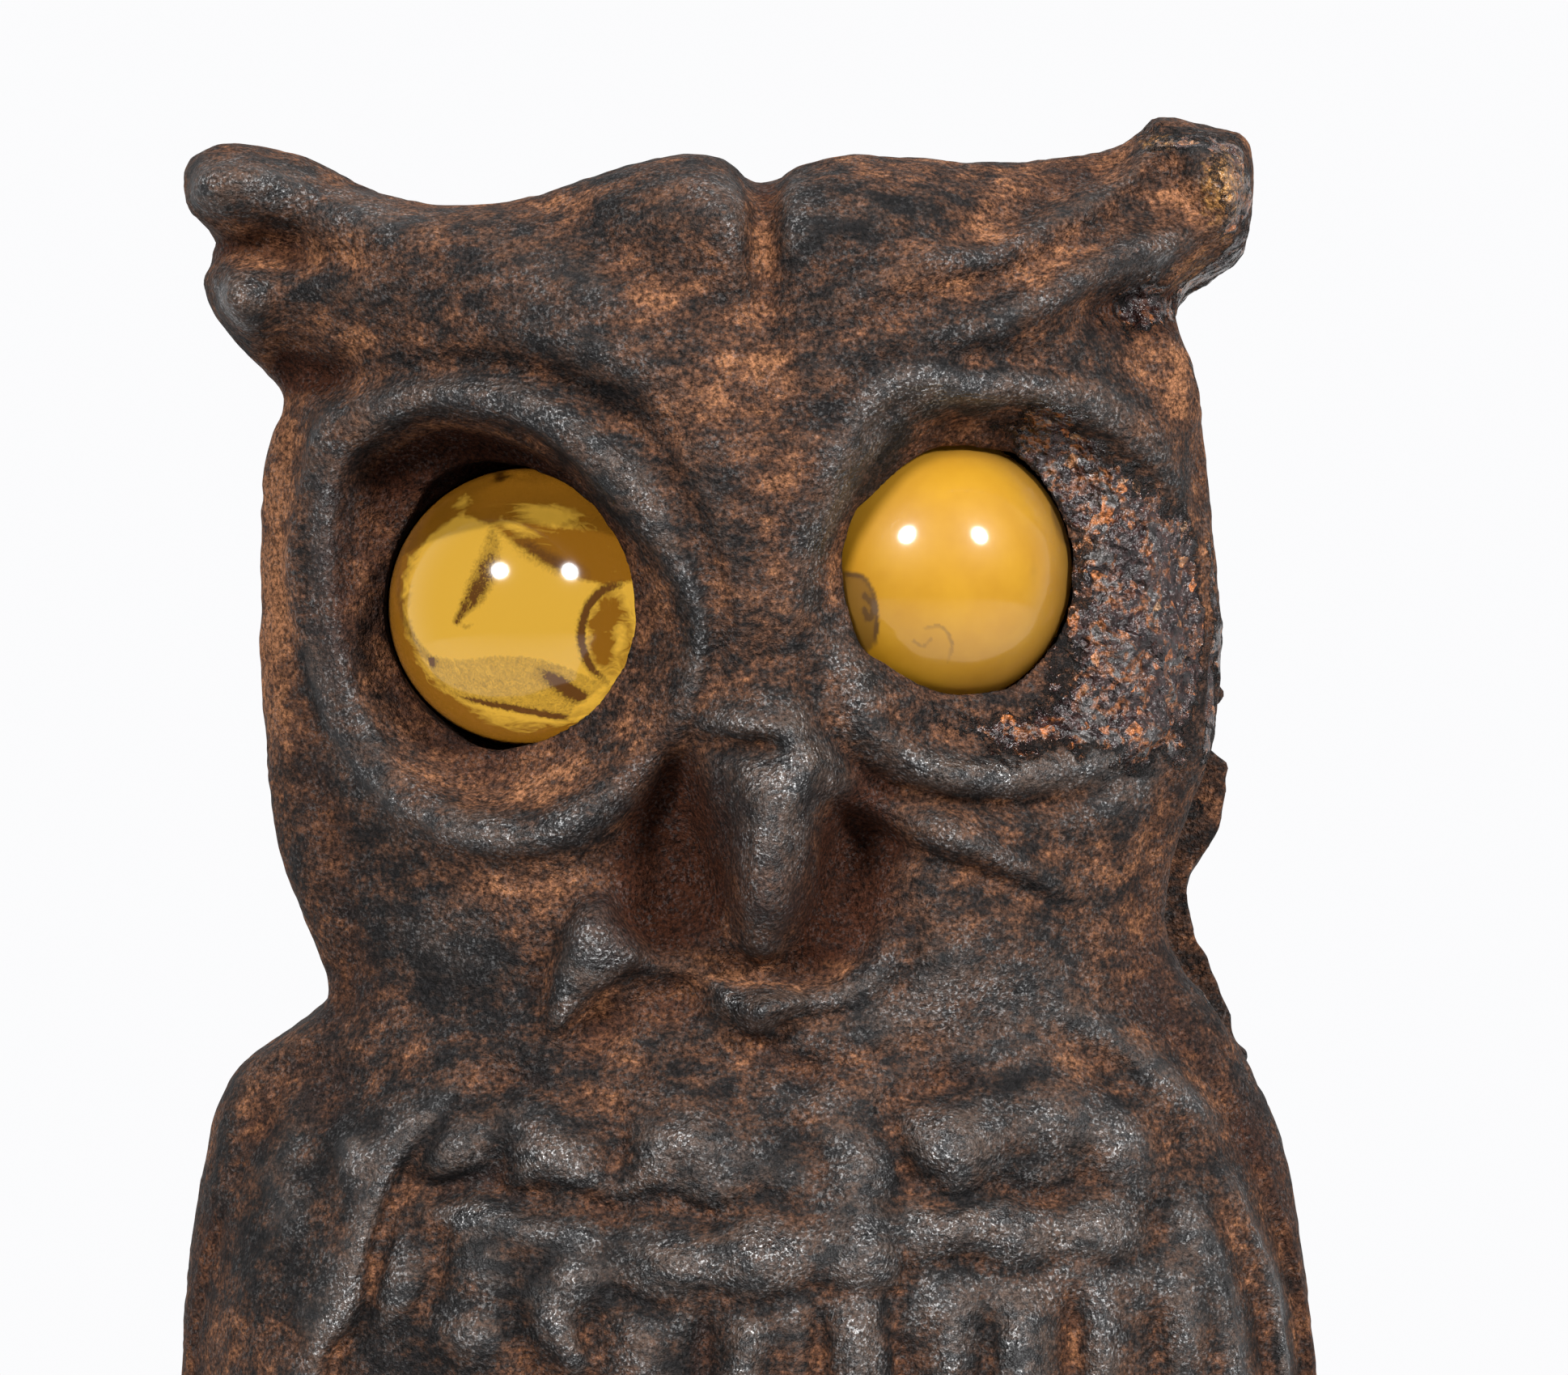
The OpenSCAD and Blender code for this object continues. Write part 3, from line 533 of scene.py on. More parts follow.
def sculpt_body(r):
    # shoulders and wings: each wing is a raised mass whose inner edge drops to the breast
    r.stroke([(-41, 247), (-45.4, 242), (-50, 236.6), (-54.6, 231), (-57.8, 223.5), (-60.2, 215),
              (-62, 206.6), (-66, 202), (-67.6, 196), (-68.5, 190), (-66, 172), (-61, 150), (-52, 126),
              (-44, 108)], 1.8, 7, [0, 2.2, 3.2, 3.6, 3.8, 4.2, 4.2, 3.6, 4, 4.4, 5, 5, 4.5, 1])
    r.stroke([(-43.4, 241.4), (-48.4, 235.6), (-52.8, 229.6), (-56, 222), (-58.2, 214), (-60, 206),
              (-64, 200.6), (-65.4, 194), (-65.6, 190), (-63, 172), (-58, 150)], 1.3, 1.3,
             [0, -0.9, -1.2, -2.6, -3.2, -3.2, -2.4, -2, -2.2, -2.2, -1])
    # the first feather beside the wing's edge, with its own crease around it
    r.stroke([(-50, 224), (-47.4, 218), (-48.6, 211), (-52.6, 206), (-57.6, 202.6)], 1.3, 1.3,
             [0, -1.5, -2, -2, -0.5])
    r.stroke([(-51.5, 224.6), (-47.8, 222.2), (-38.8, 222), (-31, 219.8), (-24.6, 220)], 1.7, 2.6,
             [0.6, 2.2, 2.2, 2, 0.6])
    r.stroke([(-58, 250), (-66, 248.5), (-73, 246.5), (-79.5, 242), (-83.5, 232), (-85, 220)], 3.5, 5,
             [0, 1.5, 2.6, 2.6, 1.8, 0])
    r.lump((-66, 240), (7, 7), -1.2, turn=-40)
    r.lump((-72, 222), (6, 9), 0.9, turn=10)
    r.lump((-76, 205), (6, 7), 0.8, turn=10)
    wing_feathers = ((-78, 182), (-76, 163), (-72, 144), (-66, 126), (79, 182), (77, 163), (72, 144),
                     (66, 126))
    for x0, z0 in wing_feathers:
        lean = -1 if x0 < 0 else 1
        r.stroke([(x0 - 9, z0 + 3 + 2 * lean), (x0 - 2, z0 - 4), (x0 + 5, z0 - 5), (x0 + 10, z0 - 1)], 4.5,
                 1.8,
                 [0, 1.3, 1.5, 0])
    r.stroke([(44, 254), (54.3, 248.9), (60, 245), (65, 241.2), (70, 236), (72, 230)],
             2.6, 2.2, [0, 2.2, 2.8, 2.8, 2.4, 0])
    r.stroke([(44, 249), (52, 245), (59, 237.8), (64.4, 232.6), (67.4, 227)], 2.4, 2.4,
             [0, -1, -1.5, -1.5, 0])
    r.stroke([(70.5, 231), (74.7, 223.6), (78.2, 218), (80.6, 212), (82.3, 203.6), (83, 190), (81, 170),
              (76, 150),
              (67, 128)], 2.4, 1.8, [0, 1.8, 2.3, 2.5, 2.6, 2.8, 2.6, 2.4, 0])
    r.stroke([(68, 222), (73.4, 217), (76.4, 211), (78.2, 204), (79.4, 197.5), (79.6, 185), (77, 166),
              (71, 146)], 1.6, 1.6,
             [0, -1.4, -1.8, -2.2, -2.2, -2.2, -2, 0])
    r.stroke([(62, 224), (67.4, 218.6), (71, 212), (73.2, 204), (74.2, 194), (73.5, 178), (69, 158),
              (60, 136)],
             2.2, 1.6, [0, 1.4, 1.6, 1.8, 2.2, 2.4, 2.4, 0])
    # the breast's top edge, its worn feathers, and grooves that run down it
    r.stroke([(-34, 247.4), (-20, 244.6), (-4, 246), (12, 245), (26, 247.5), (38, 249)], 2.2, 2.6,
             [0, -1.2, -1.4, -1.4, -1.0, 0])
    for at, radii, rise, turn in BREAST_LUMPS:
        r.lump(at, radii, BREAST_RISE * rise, turn)
    for path, half, rise in BREAST_LINES:
        r.stroke(path, half, half, [BREAST_RISE * v for v in rise])
    for x0, half, rise in BREAST_RIBS:
        r.stroke([(x0, 211), (x0 + 0.4, 204), (x0, 194)], half, half, [0.3 * rise, 1.5 * rise, 1.3 * rise])
    feather_rows(r)
    # worn and uneven between them
    body = ease((247 - r.z) / 6) * ease((r.z - 100) / 10)
    coarse, fine = noise_map(r.x.shape, 7 / r.step, 17), noise_map(r.x.shape, 3.6 / r.step, 18)
    r.depth += body * (0.8 * coarse + 0.4 * fine)
    # the belly draws in above the branch
    r.lump((3, 96), (40, 9), -4)


def casting_relief(x, z):
    r = Relief(x, z, bare_mass(x, z))
    sculpt_head(r)
    sculpt_lower_face(r)
    sculpt_body(r)
    sculpt_sockets(r)
    return r


# ---- Solids, as blocks of samples of a distance field ----

def rounded_max(a, b, r):
    """The intersection of two fields, with a round edge of radius r."""
    return np.minimum(np.maximum(a, b), -r) + np.hypot(np.maximum(a + r, 0), np.maximum(b + r, 0))


def blended_min(a, b, k):
    """The union of two fields, with a fillet of about k."""
    h = np.maximum(k - np.abs(a - b), 0) / k
    return np.minimum(a, b) - h * h * k / 4


class Solid:
    """Distance in millimetres over x, out and z: negative inside the solid."""

    def __init__(self, low, high, step):
        self.step = step
        self.low = np.array(low, float)
        axes = [np.arange(a, b + step, step, dtype=np.float32) for a, b in zip(low, high)]
        self.x, self.out, self.z = axes[0][:, None, None], axes[1][None, :, None], axes[2][None, None, :]
        self.field = np.full([len(a) for a in axes], 9, np.float32)

    def window(self, low, high):
        i = np.floor((np.array(low) - self.low) / self.step).astype(int)
        j = np.ceil((np.array(high) - self.low) / self.step).astype(int) + 1
        i, j = np.clip(i, 0, self.field.shape), np.clip(j, 0, self.field.shape)
        w = tuple(slice(a, b) for a, b in zip(i, j))
        return w, self.x[w[0]], self.out[:, w[1]], self.z[:, :, w[2]]

    def limb(self, points, radii, blend=4.0):
        """A tapered round limb through [x, out, z] points, joined with a fillet."""
        points = [np.array(p, float) for p in points]
        for a, b, ra, rb in zip(points[:-1], points[1:], radii[:-1], radii[1:]):
            reach = max(ra, rb) + blend + 2 * self.step
            w, x, out, z = self.window(np.minimum(a, b) - reach, np.maximum(a, b) + reach)
            d = b - a
            t = unit(((x - a[0]) * d[0] + (out - a[1]) * d[1] + (z - a[2]) * d[2]) / (d @ d))
            gap = np.sqrt(sum((v - a[n] - t * d[n]) ** 2 for n, v in enumerate((x, out, z))))
            self.field[w] = blended_min(self.field[w], gap - mix(ra, rb, t), blend)

    def block(self, low, high, r=1.0, blend=1.0, cut=False):
        """A box with round edges, added or cut."""
        w, x, out, z = self.window(np.array(low) - 6, np.array(high) + 6)
        middle, half = (np.array(low) + high) / 2, (np.array(high) - low) / 2 - r
        q = [np.abs(v - m) - h for v, m, h in zip((x, out, z), middle, half)]
        far = np.sqrt(sum(np.maximum(v, 0) ** 2 for v in q))
        near = np.minimum(np.maximum(np.maximum(q[0], q[1]), q[2]), 0)
        self.join(w, far + near - r, blend, cut)

    def drum(self, at, radius, low, high, r=0.8, blend=0.8, cut=False):
        """A cylinder along out, around [x, z], added or cut."""
        reach = radius + 4
        near, far = (at[0] - reach, low - 4, at[1] - reach), (at[0] + reach, high + 4, at[1] + reach)
        w, x, out, z = self.window(near, far)
        round_gap = np.hypot(x - at[0], z - at[1]) - radius
        end_gap = np.abs(out - (low + high) / 2) - (high - low) / 2
        self.join(w, rounded_max(round_gap, end_gap, r), blend, cut)

    def ball(self, at, radii, blend=4.0, cut=False):
        """An ellipsoid, added or cut."""
        radii = np.array(radii, float)
        w, x, out, z = self.window(np.array(at) - radii - 6, np.array(at) + radii + 6)
        q = np.sqrt(sum(((v - at[n]) / radii[n]) ** 2 for n, v in enumerate((x, out, z))))
        self.join(w, (q - 1) * radii.min(), blend, cut)

    def join(self, w, gap, blend, cut=False):
        if cut:
            self.field[w] = -blended_min(-self.field[w], gap, blend)
        else:
            self.field[w] = blended_min(self.field[w], gap, blend)

    def mesh(self, name):
        """A closed quad mesh of the solid's surface, in the frame, as a new object."""
        band = 3.0
        grid = openvdb.FloatGrid(band)
        # the grid reads its samples in row order
        grid.copyFromArray(np.ascontiguousarray(np.clip(self.field, -band, band)))
        points, _, quads = grid.convertToPolygons(isovalue=0.0, adaptivity=0.0)
        return smooth_mesh(name, points * self.step + self.low, quads.tolist())


# ---- The casting ----

def blurred(values, sigma):
    """A map blurred by sigma grid steps."""
    pad = int(4 * sigma) + 2
    wide = np.pad(values, pad, mode="edge")
    fz, fx = np.fft.fftfreq(wide.shape[0])[:, None], np.fft.rfftfreq(wide.shape[1])[None, :]
    soft = np.fft.irfft2(np.fft.rfft2(wide) * np.exp(-2 * (math.pi * sigma) ** 2 * (fz ** 2 + fx ** 2)),
                         wide.shape)
    return soft[pad:-pad, pad:-pad]


def noise_at(points, cell, seed):
    """Smooth noise from about -1 to 1 at points in millimetres."""
    grid = np.random.default_rng(seed).uniform(-1, 1, (64, 64, 64))
    p = points / cell + 1000
    i = np.floor(p).astype(int)
    f = ease(p - i)
    total = 0
    for a in (0, 1):
        for b in (0, 1):
            for c in (0, 1):
                weight = (np.abs(1 - a - f[:, 0]) * np.abs(1 - b - f[:, 1]) * np.abs(1 - c - f[:, 2]))
                total = total + weight * grid[(i[:, 0] + a) % 64, (i[:, 1] + b) % 64, (i[:, 2] + c) % 64]
    return total * 1.6


def sample(values, solid, x, z):
    """A map's values at places in millimetres, between its grid points."""
    u = np.clip((x - solid.low[0]) / solid.step, 0, values.shape[1] - 1.001)
    v = np.clip((z - solid.low[2]) / solid.step, 0, values.shape[0] - 1.001)
    i, j = u.astype(int), v.astype(int)
    fu, fv = u - i, v - j
    return (values[j, i] * (1 - fu) * (1 - fv) + values[j, i + 1] * fu * (1 - fv)
            + values[j + 1, i] * (1 - fu) * fv + values[j + 1, i + 1] * fu * fv)


FLASH = [(58, 293), (74, 291.4), (75.6, 288.2), (74.4, 283), (73.2, 278.2), (71.6, 274), (69.4, 270),
         (70.4, 263.6), (72.6, 257.6), (75.2, 252.2), (77.4, 246.6), (78, 241), (58, 241)]
CASTING_STEP = 0.8
CASTING_LOW, CASTING_HIGH = (-101, -4, -3), (101, 79, 394)
# Edge radii of the body, the head and the crown, and the heights where they change.
BODY_EDGE, HEAD_EDGE, CROWN_EDGE = 18, 11, 6.5
NECK_Z, CROWN_Z = 238, 338
# The back is hollow down to this height, and shallower behind the eyes.
HOLLOW_BOTTOM = 112
EYES_LOW, EYES_HIGH = 266, 352
FOOT_OUT = 35
FOOT_HALF_WIDTH, FOOT_HALF_DEPTH = 17, 26


def lift(values):
    """A map over x and z, laid through a solid's block of samples."""
    return values.T[:, None, :].astype(np.float32)


def shell_and_seats(s, x, z, height, within):
    """The owl's front with its hollow back, the seats of the glasses and the bosses."""
    gz, gx = np.gradient(height, s.step)
    body_edge = mix(BODY_EDGE, HEAD_EDGE, ease((z - NECK_Z) / 14))
    edge_r = mix(body_edge, CROWN_EDGE, ease((z - CROWN_Z) / 14))
    deep = lift(within)
    front = (s.out - lift(height)) / lift(np.sqrt(1 + gx ** 2 + gz ** 2))
    s.field = rounded_max(rounded_max(front, -deep, lift(edge_r)), -s.out, 1.2)

    behind_eyes = ease((z - EYES_LOW) / 10) * (1 - ease((z - EYES_HIGH) / 8))
    inner = lift(mix(0.86 * bare_mass(x, z) - WALL - 2, SEAT_OUT - 1, behind_eyes))
    hollow = rounded_max(rounded_max(s.out - inner, WALL - deep, 8), HOLLOW_BOTTOM - s.z, 6)
    shell = np.maximum(s.field, -hollow)

    # the seats and the boss between them are made by themselves, and kept behind the front
    s.field = np.full_like(shell, 9)
    for glass in (LEFT_GLASS, RIGHT_GLASS):
        s.drum(glass, FLANGE_R + 4.5, GASKET_OUT - 1, GLASS_OUT + 6)
    s.drum(STUD_AT, 8, GASKET_OUT - 1, 50)
    s.block((-47, GASKET_OUT + 1, 336), (-30, 50, 352), 3)
    added = np.maximum(s.field, front + 0.8)
    s.field = blended_min(shell, np.maximum(added, 2 - deep), 3)
    s.block((-31, 0, 66), (31, 40, 94), 1.5, blend=3)


def perch(s):
    """Branch with its knots, tail, legs with their feet, and toes."""
    s.limb([(-88, 37, 78), (-50, 36, 74), (0, 35, 73), (50, 36, 74), (88, 37, 78)],
           [BRANCH_R - 2, BRANCH_R, BRANCH_R + 1, BRANCH_R, BRANCH_R - 2], 6)
    for x0, z0, r0 in ((-66, 84, 6), (71, 83, 5.5), (-14, 62, 5), (40, 64, 5)):
        s.ball((x0, 42, z0), (r0, r0, r0), 7)
    for k in (-1, 0, 1):
        s.limb([(k * 9, 22, 84), (k * 12, 26, 56), (k * 10, 25, 34 - 6 * (1 - abs(k)))], [11, 9, 8.5], 2.2)
    for side in (-1, 1):
        foot_x = side * FOOT_X
        s.limb([(side * 46, 36, 72), (side * 62, 36, 52), (side * (FOOT_X - 4), FOOT_OUT, 28),
                (foot_x, FOOT_OUT, 9)],
               [BRANCH_R, BRANCH_R - 2, BRANCH_R - 3, BRANCH_R - 3], 6)
        w, x, out, z = s.window((foot_x - 26, 0, -3), (foot_x + 26, 70, 16))
        pad_gap = (np.hypot((x - foot_x) / FOOT_HALF_WIDTH,
                            (out - FOOT_OUT) / FOOT_HALF_DEPTH) - 1) * FOOT_HALF_WIDTH
        s.join(w, rounded_max(pad_gap + 0.9 * np.maximum(z - 4, 0), np.abs(z - 4) - 5, 2), 5)
        for k in (-1, 0, 1):
            toe = side * 25 + k * 10.5
            s.limb([(toe - k * 1.5, 42, 93), (toe, 50, 86), (toe + k, 52, 74), (toe + k, 47, 62)],
                   [6.5, 6, 5, 2.2], 1.6)
            for ring in range(3):
                s.ball((toe, 48.5 + ring, 88.5 - 5.5 * ring), (6.9 - 0.4 * ring, 6.6 - 0.3 * ring, 3), 1.2)


def eye_and_bolt_holes(s, x, z):
    """What the glasses and the fasteners need."""
    for glass, hole, neck in ((LEFT_GLASS, LEFT_HOLE, 22.2), (RIGHT_GLASS, RIGHT_HOLE, 22)):
        s.drum(glass, FLANGE_R + 0.4, -6, SEAT_OUT, cut=True)
        s.drum(glass, neck, SEAT_OUT - 4, GLASS_OUT + 1.5, cut=True)
        s.ball((glass[0], GLASS_OUT, glass[1]), (GLASS_R + 0.5,) * 3, blend=0.5, cut=True)
        opening = lift(depth_in(hole, x, z))
        cut = rounded_max(-opening, GLASS_OUT - 5 - s.out, 1)
        s.field = -blended_min(-s.field, cut, 1.6)
    s.drum(STUD_AT, 3.15, -6, 35, blend=0.4, cut=True)
    for side in (-1, 1):
        s.drum((side * BOLT_X, BOLT_Z), 4.15, -6, 24, blend=0.4, cut=True)


def build_casting():
    s = Solid(CASTING_LOW, CASTING_HIGH, CASTING_STEP)
    x, z = np.meshgrid(s.x.ravel().astype(float), s.z.ravel().astype(float))
    relief = casting_relief(x, z)
    height = blurred(relief.depth, 0.75 / s.step)
    within = depth_in(widened(OUTLINE), x, z)
    shell_and_seats(s, x, z, height, within)
    perch(s)
    # the back rim's ragged flash beside the neck, and a lug behind the right eye's level
    flash = lift(depth_in(FLASH, x, z, per_span=2) + 0.5 * noise_map(x.shape, 2.5 / s.step, 3))
    s.field = blended_min(s.field, rounded_max(-flash, np.abs(s.out - 2.6) - 2.4, 0.8), 1)
    s.limb([(66, 6, 303.6), (73.4, 6, 301.4)], [3, 1.7], 1.5)
    eye_and_bolt_holes(s, x, z)
    s.field = rounded_max(s.field, -s.z, 0.8)
    obj = s.mesh("owl")
    dress_casting(obj.data, s, height, within, relief)
    return obj


def dress_casting(mesh, s, height, within, relief):
    """Fine unevenness of the sand-cast and rusted skin, and the maps that its material reads."""
    at, normal = surface_of(mesh)
    mm = np.column_stack([at[:, 0], RIM_Y - at[:, 1], at[:, 2]]) / MM
    x, out, z = mm.T

    def spots(lumps):
        """A map made only of lumps, read at the points."""
        made = Relief(relief.x, relief.z, np.zeros_like(relief.depth))
        for lump in lumps:
            made.lump(*lump)
        return sample(made.depth, s, x, z)

    facing = unit(-normal[:, 1] * 3) * ease((out - 12) / 12)
    crust = unit(spots(CRUST_LUMPS)) * ease((out - 6) / 12)
    skin = np.maximum(ease((out - sample(height, s, x, z)) / 3 + 1.6), ease(2.6 - sample(within, s, x, z)))
    crust = unit(crust + unit(spots(SIDE_CRUST))) * skin
    ochre = unit(spots(OCHRE_LUMPS))
    bias = spots(RUST_LUMPS)

    fine = height - blurred(height, 1.6 / s.step)
    broad = height - blurred(height, 5 / s.step)
    hollow = np.clip(sample(-0.55 * fine - 0.16 * broad, s, x, z) * facing, -1, 1)
    # Painted shade with dark rust: a broad cavity map marks the recesses, which the material darkens as if
    # shade fell in them.
    wide = blurred(height, 9 / s.step) - height
    deep = unit(sample(0.16 * wide, s, x, z) - 0.12) * facing
    deep = unit(deep + unit(spots(DEEP_RUST_AND_SHADE_LUMPS)))

    ridges = mix(0.65, 1.2, ease((250 - z) / 12))
    polish = unit(-np.minimum(bias, 0) - ridges * hollow) * (1 - deep) * facing
    bias = np.maximum(bias, 0) + 0.3 * np.minimum(bias, 0) - spots(DARK_LUMPS)

    side_wall = ease((np.abs(normal[:, 1]) < 0.6) * 1.0 + 0.3)
    sand = 0.13 * noise_at(mm, 2.2, 1) + 0.22 * noise_at(mm, 7, 2) + 0.35 * noise_at(mm, 22, 4) * side_wall
    pitted = noise_at(mm, 3.4, 5) + 0.7 * noise_at(mm, 1.9, 6)
    flakes = np.round(2.4 * noise_at(mm, 6.5, 7)) / 2.4
    rise = sand + crust * (0.34 * pitted + 0.6 * flakes)
    branch = ease((96 - z) / 8) * ease((z - 56) / 6) * (out > 16)
    rise += branch * 0.7 * noise_at(mm * np.array([0.25, 1.6, 1.6]), 3.2, 8)
    # the skin stays even in the seats, at the bolts and on the soles
    from_glass = [np.hypot(x - glass[0], z - glass[1]) for glass in (LEFT_GLASS, RIGHT_GLASS)]
    rise *= 1 - 0.8 * (np.minimum(*from_glass) < FLANGE_R + 1) * (out < GLASS_OUT - 2)
    rise *= ease((z - 0.6) / 3) * ease((np.hypot(np.abs(x) - BOLT_X, z - BOLT_Z) - 5) / 3 + (out > 25))
    at += normal * (rise * MM)[:, None]
    at[:, 1] = np.minimum(at[:, 1], RIM_Y + 0.2 * MM)
    move_points(mesh, at)
    for name, values in (("hollow", hollow), ("deep", deep), ("crust", crust), ("ochre", ochre),
                         ("rust", bias),
                         ("polish", polish)):
        write_map(mesh, name, values)


# Where rust has eaten into the iron, as lumps: middle, radii, strength, turn.
CRUST_LUMPS = [
    ((51, 333), (9, 5.5), 0.9, -35), ((58, 322), (8.5, 11), 1.0, 0), ((57, 306), (9.5, 11), 1.0, 20),
    ((49, 297), (12, 5), 0.75, 20), ((66, 313), (5.5, 16), 0.55, -4), ((44, 340), (6, 3.5), 0.6, -15),
    ((36, 296), (9, 3.5), 0.4, -4), ((62, 293), (7, 5), 0.5, 30), ((60, 361.5), (6.5, 4.5), 0.85, 20),
    ((46, 343), (6, 4), 0.5, -20),
]
SIDE_CRUST = [
    ((71, 305), (2.6, 14), 0.6, 2), ((74.5, 379), (3.4, 9), 0.9, 6), ((66, 388), (8, 2.4), 0.7, -8),
    ((70, 366), (7, 2.2), 0.6, 40), ((69, 352), (2.6, 7), 0.5, -10), ((71, 268), (3, 26), 0.35, 0),
]
OCHRE_LUMPS = [
    ((72.5, 380), (4.5, 7.5), 1.0, 0), ((62.6, 387.4), (3.6, 2.2), 0.8, 0),
    ((68.5, 366.5), (6, 3.4), 0.6, 35),
    ((57, 373.5), (8, 2.2), 0.3, 30),
]
# Deep places with dark red-brown rust and painted shade: the hollows beside the beak, and the left socket's
# outer side and its top under the brow.
DEEP_RUST_AND_SHADE_LUMPS = [
    ((-11, 281), (8, 10), 0.8, 8), ((-13, 269), (11, 7), 0.9, 10), ((15, 279), (6.5, 9), 0.7, -20),
    ((12, 267), (9, 6), 0.7, 0), ((-64, 318), (4, 16), 0.5, 0), ((-52, 338), (10, 4), 0.4, 20),
]
# Patches of black scale.
DARK_LUMPS = [
    ((-47, 262), (13, 9), 0.55, -15), ((-24, 262), (6, 8), 0.25, 0), ((-63, 238), (13, 8), 0.5, 20),
    ((-14, 376), (13, 8), 0.3, 0), ((18, 376), (17, 7), 0.2, 0), ((-40, 232), (22, 12), 0.4, 0),
    ((-61, 286), (10, 4.5), 0.45, -38), ((-69, 312), (3.4, 22), 0.55, 0), ((-44, 350), (18, 3), 0.3, 0),
    ((-18, 334), (10, 3.4), 0.3, -50), ((22, 262), (9, 8), 0.3, 0), ((-74, 212), (9, 14), 0.35, 0),
    ((-36, 360), (14, 4), 0.35, -12), ((34, 358), (12, 3), 0.3, 20), ((8, 300), (4, 20), 0.3, 0),
    ((-20, 208), (30, 14), 0.25, 0), ((-60, 363), (10, 3), 0.25, 0), ((-36, 279), (18, 3.4), 0.3, 0),
    ((-50, 264), (16, 9), 0.35, -12), ((-8, 230), (50, 9), 0.1, 0), ((-11, 281), (8, 9), 0.3, 8),
    ((20, 216), (60, 30), 0.3, 0), ((-70, 215), (18, 26), 0.2, 0),
]
# More rust where positive, polished bare iron where negative.
RUST_LUMPS = [
    ((-74.5, 318), (5, 30), 0.55, 0), ((-75, 352), (5, 7), 0.4, 0), ((-70, 262), (5, 14), 0.3, -15),
    ((-55, 322), (9, 16), 0.35, 10), ((-40, 341), (18, 5), 0.4, 0), ((-30, 289), (14, 5.5), 0.4, 15),
    ((-14, 305), (5, 13), 0.3, 0), ((-11, 279), (9, 11), 0.35, 0), ((16, 279), (8, 10), 0.3, -25),
    ((-15, 264), (14, 6), 0.35, 0), ((14, 264), (10, 6), 0.35, 0), ((-31, 268), (7, 9), 0.4, 30),
    ((-2, 345), (9, 16), 0.2, 0), ((0, 366), (3.5, 12), 0.35, 0), ((14, 352), (12, 6), 0.2, 20),
    ((-62, 369), (16, 3), 0.5, 0), ((-80, 372), (6, 6), 0.35, 0), ((-66, 356), (10, 4), 0.4, 0),
    ((-22, 254), (16, 4), 0.35, 0), ((-50, 250), (9, 5), 0.3, 0), ((28, 366), (18, 5), 0.2, 20),
    ((4, 318), (3.6, 14), 0.15, 0), ((40, 262), (16, 7), 0.1, 0), ((50, 354), (16, 5), 0.3, 0),
    ((66, 352), (8, 12), 0.6, 0), ((68, 376), (10, 10), 0.6, 0), ((-74, 320), (3, 30), 0.7, 0),
    ((3, 333), (7, 8), 0.45, 0), ((-36, 288), (16, 5), 0.3, 0), ((74, 225), (5, 20), 0.35, 8),
    ((60, 258), (8, 6), 0.3, 0),
    ((-84, 215), (5, 22), 0.3, 0), ((44, 382), (14, 4), 0.1, 0), ((-8, 247), (24, 4), 0.25, 0),
    ((-60, 300), (5, 5), -0.1, 0), ((-43, 350), (20, 3), -0.45, 0), ((-18, 336), (12, 4), -0.5, -48),
    ((-68, 312), (3.4, 30), -0.55, 0), ((-60, 286), (14, 4.5), -0.45, -38), ((-34, 278.5), (20, 4), -0.35, 0),
    ((-9, 300), (4, 16), -0.4, 12), ((1.5, 280), (6, 16), -0.6, 0), ((3, 292), (6, 5), -0.3, 0),
    ((-24, 262), (6, 8), -0.75, 0), ((0, 252.5), (8, 4), -0.6, 0), ((13, 300), (5, 24), -0.5, 0),
    ((34, 288), (26, 5), -0.9, 0), ((60, 291), (10, 5), -0.6, 35), ((13, 334), (4, 18), -0.45, -20),
    ((30, 349), (16, 3), -0.5, 0), ((57, 346), (10, 4), -0.4, -35),
    ((-30, 366), (16, 6), -0.25, -25), ((-64, 378), (18, 6), -0.4, -8),
    ((-80, 364), (7, 6), -0.3, 0), ((-45, 263), (13, 10), -0.3, -20), ((36, 254), (28, 11), -0.6, 0),
    ((22, 222), (54, 26), -0.36, 0), ((50, 208), (26, 16), -0.35, 0), ((-70, 232), (10, 14), -0.3, 0),
    ((2, 215), (76, 14), -0.2, 0),
]


# ---- Materials ----

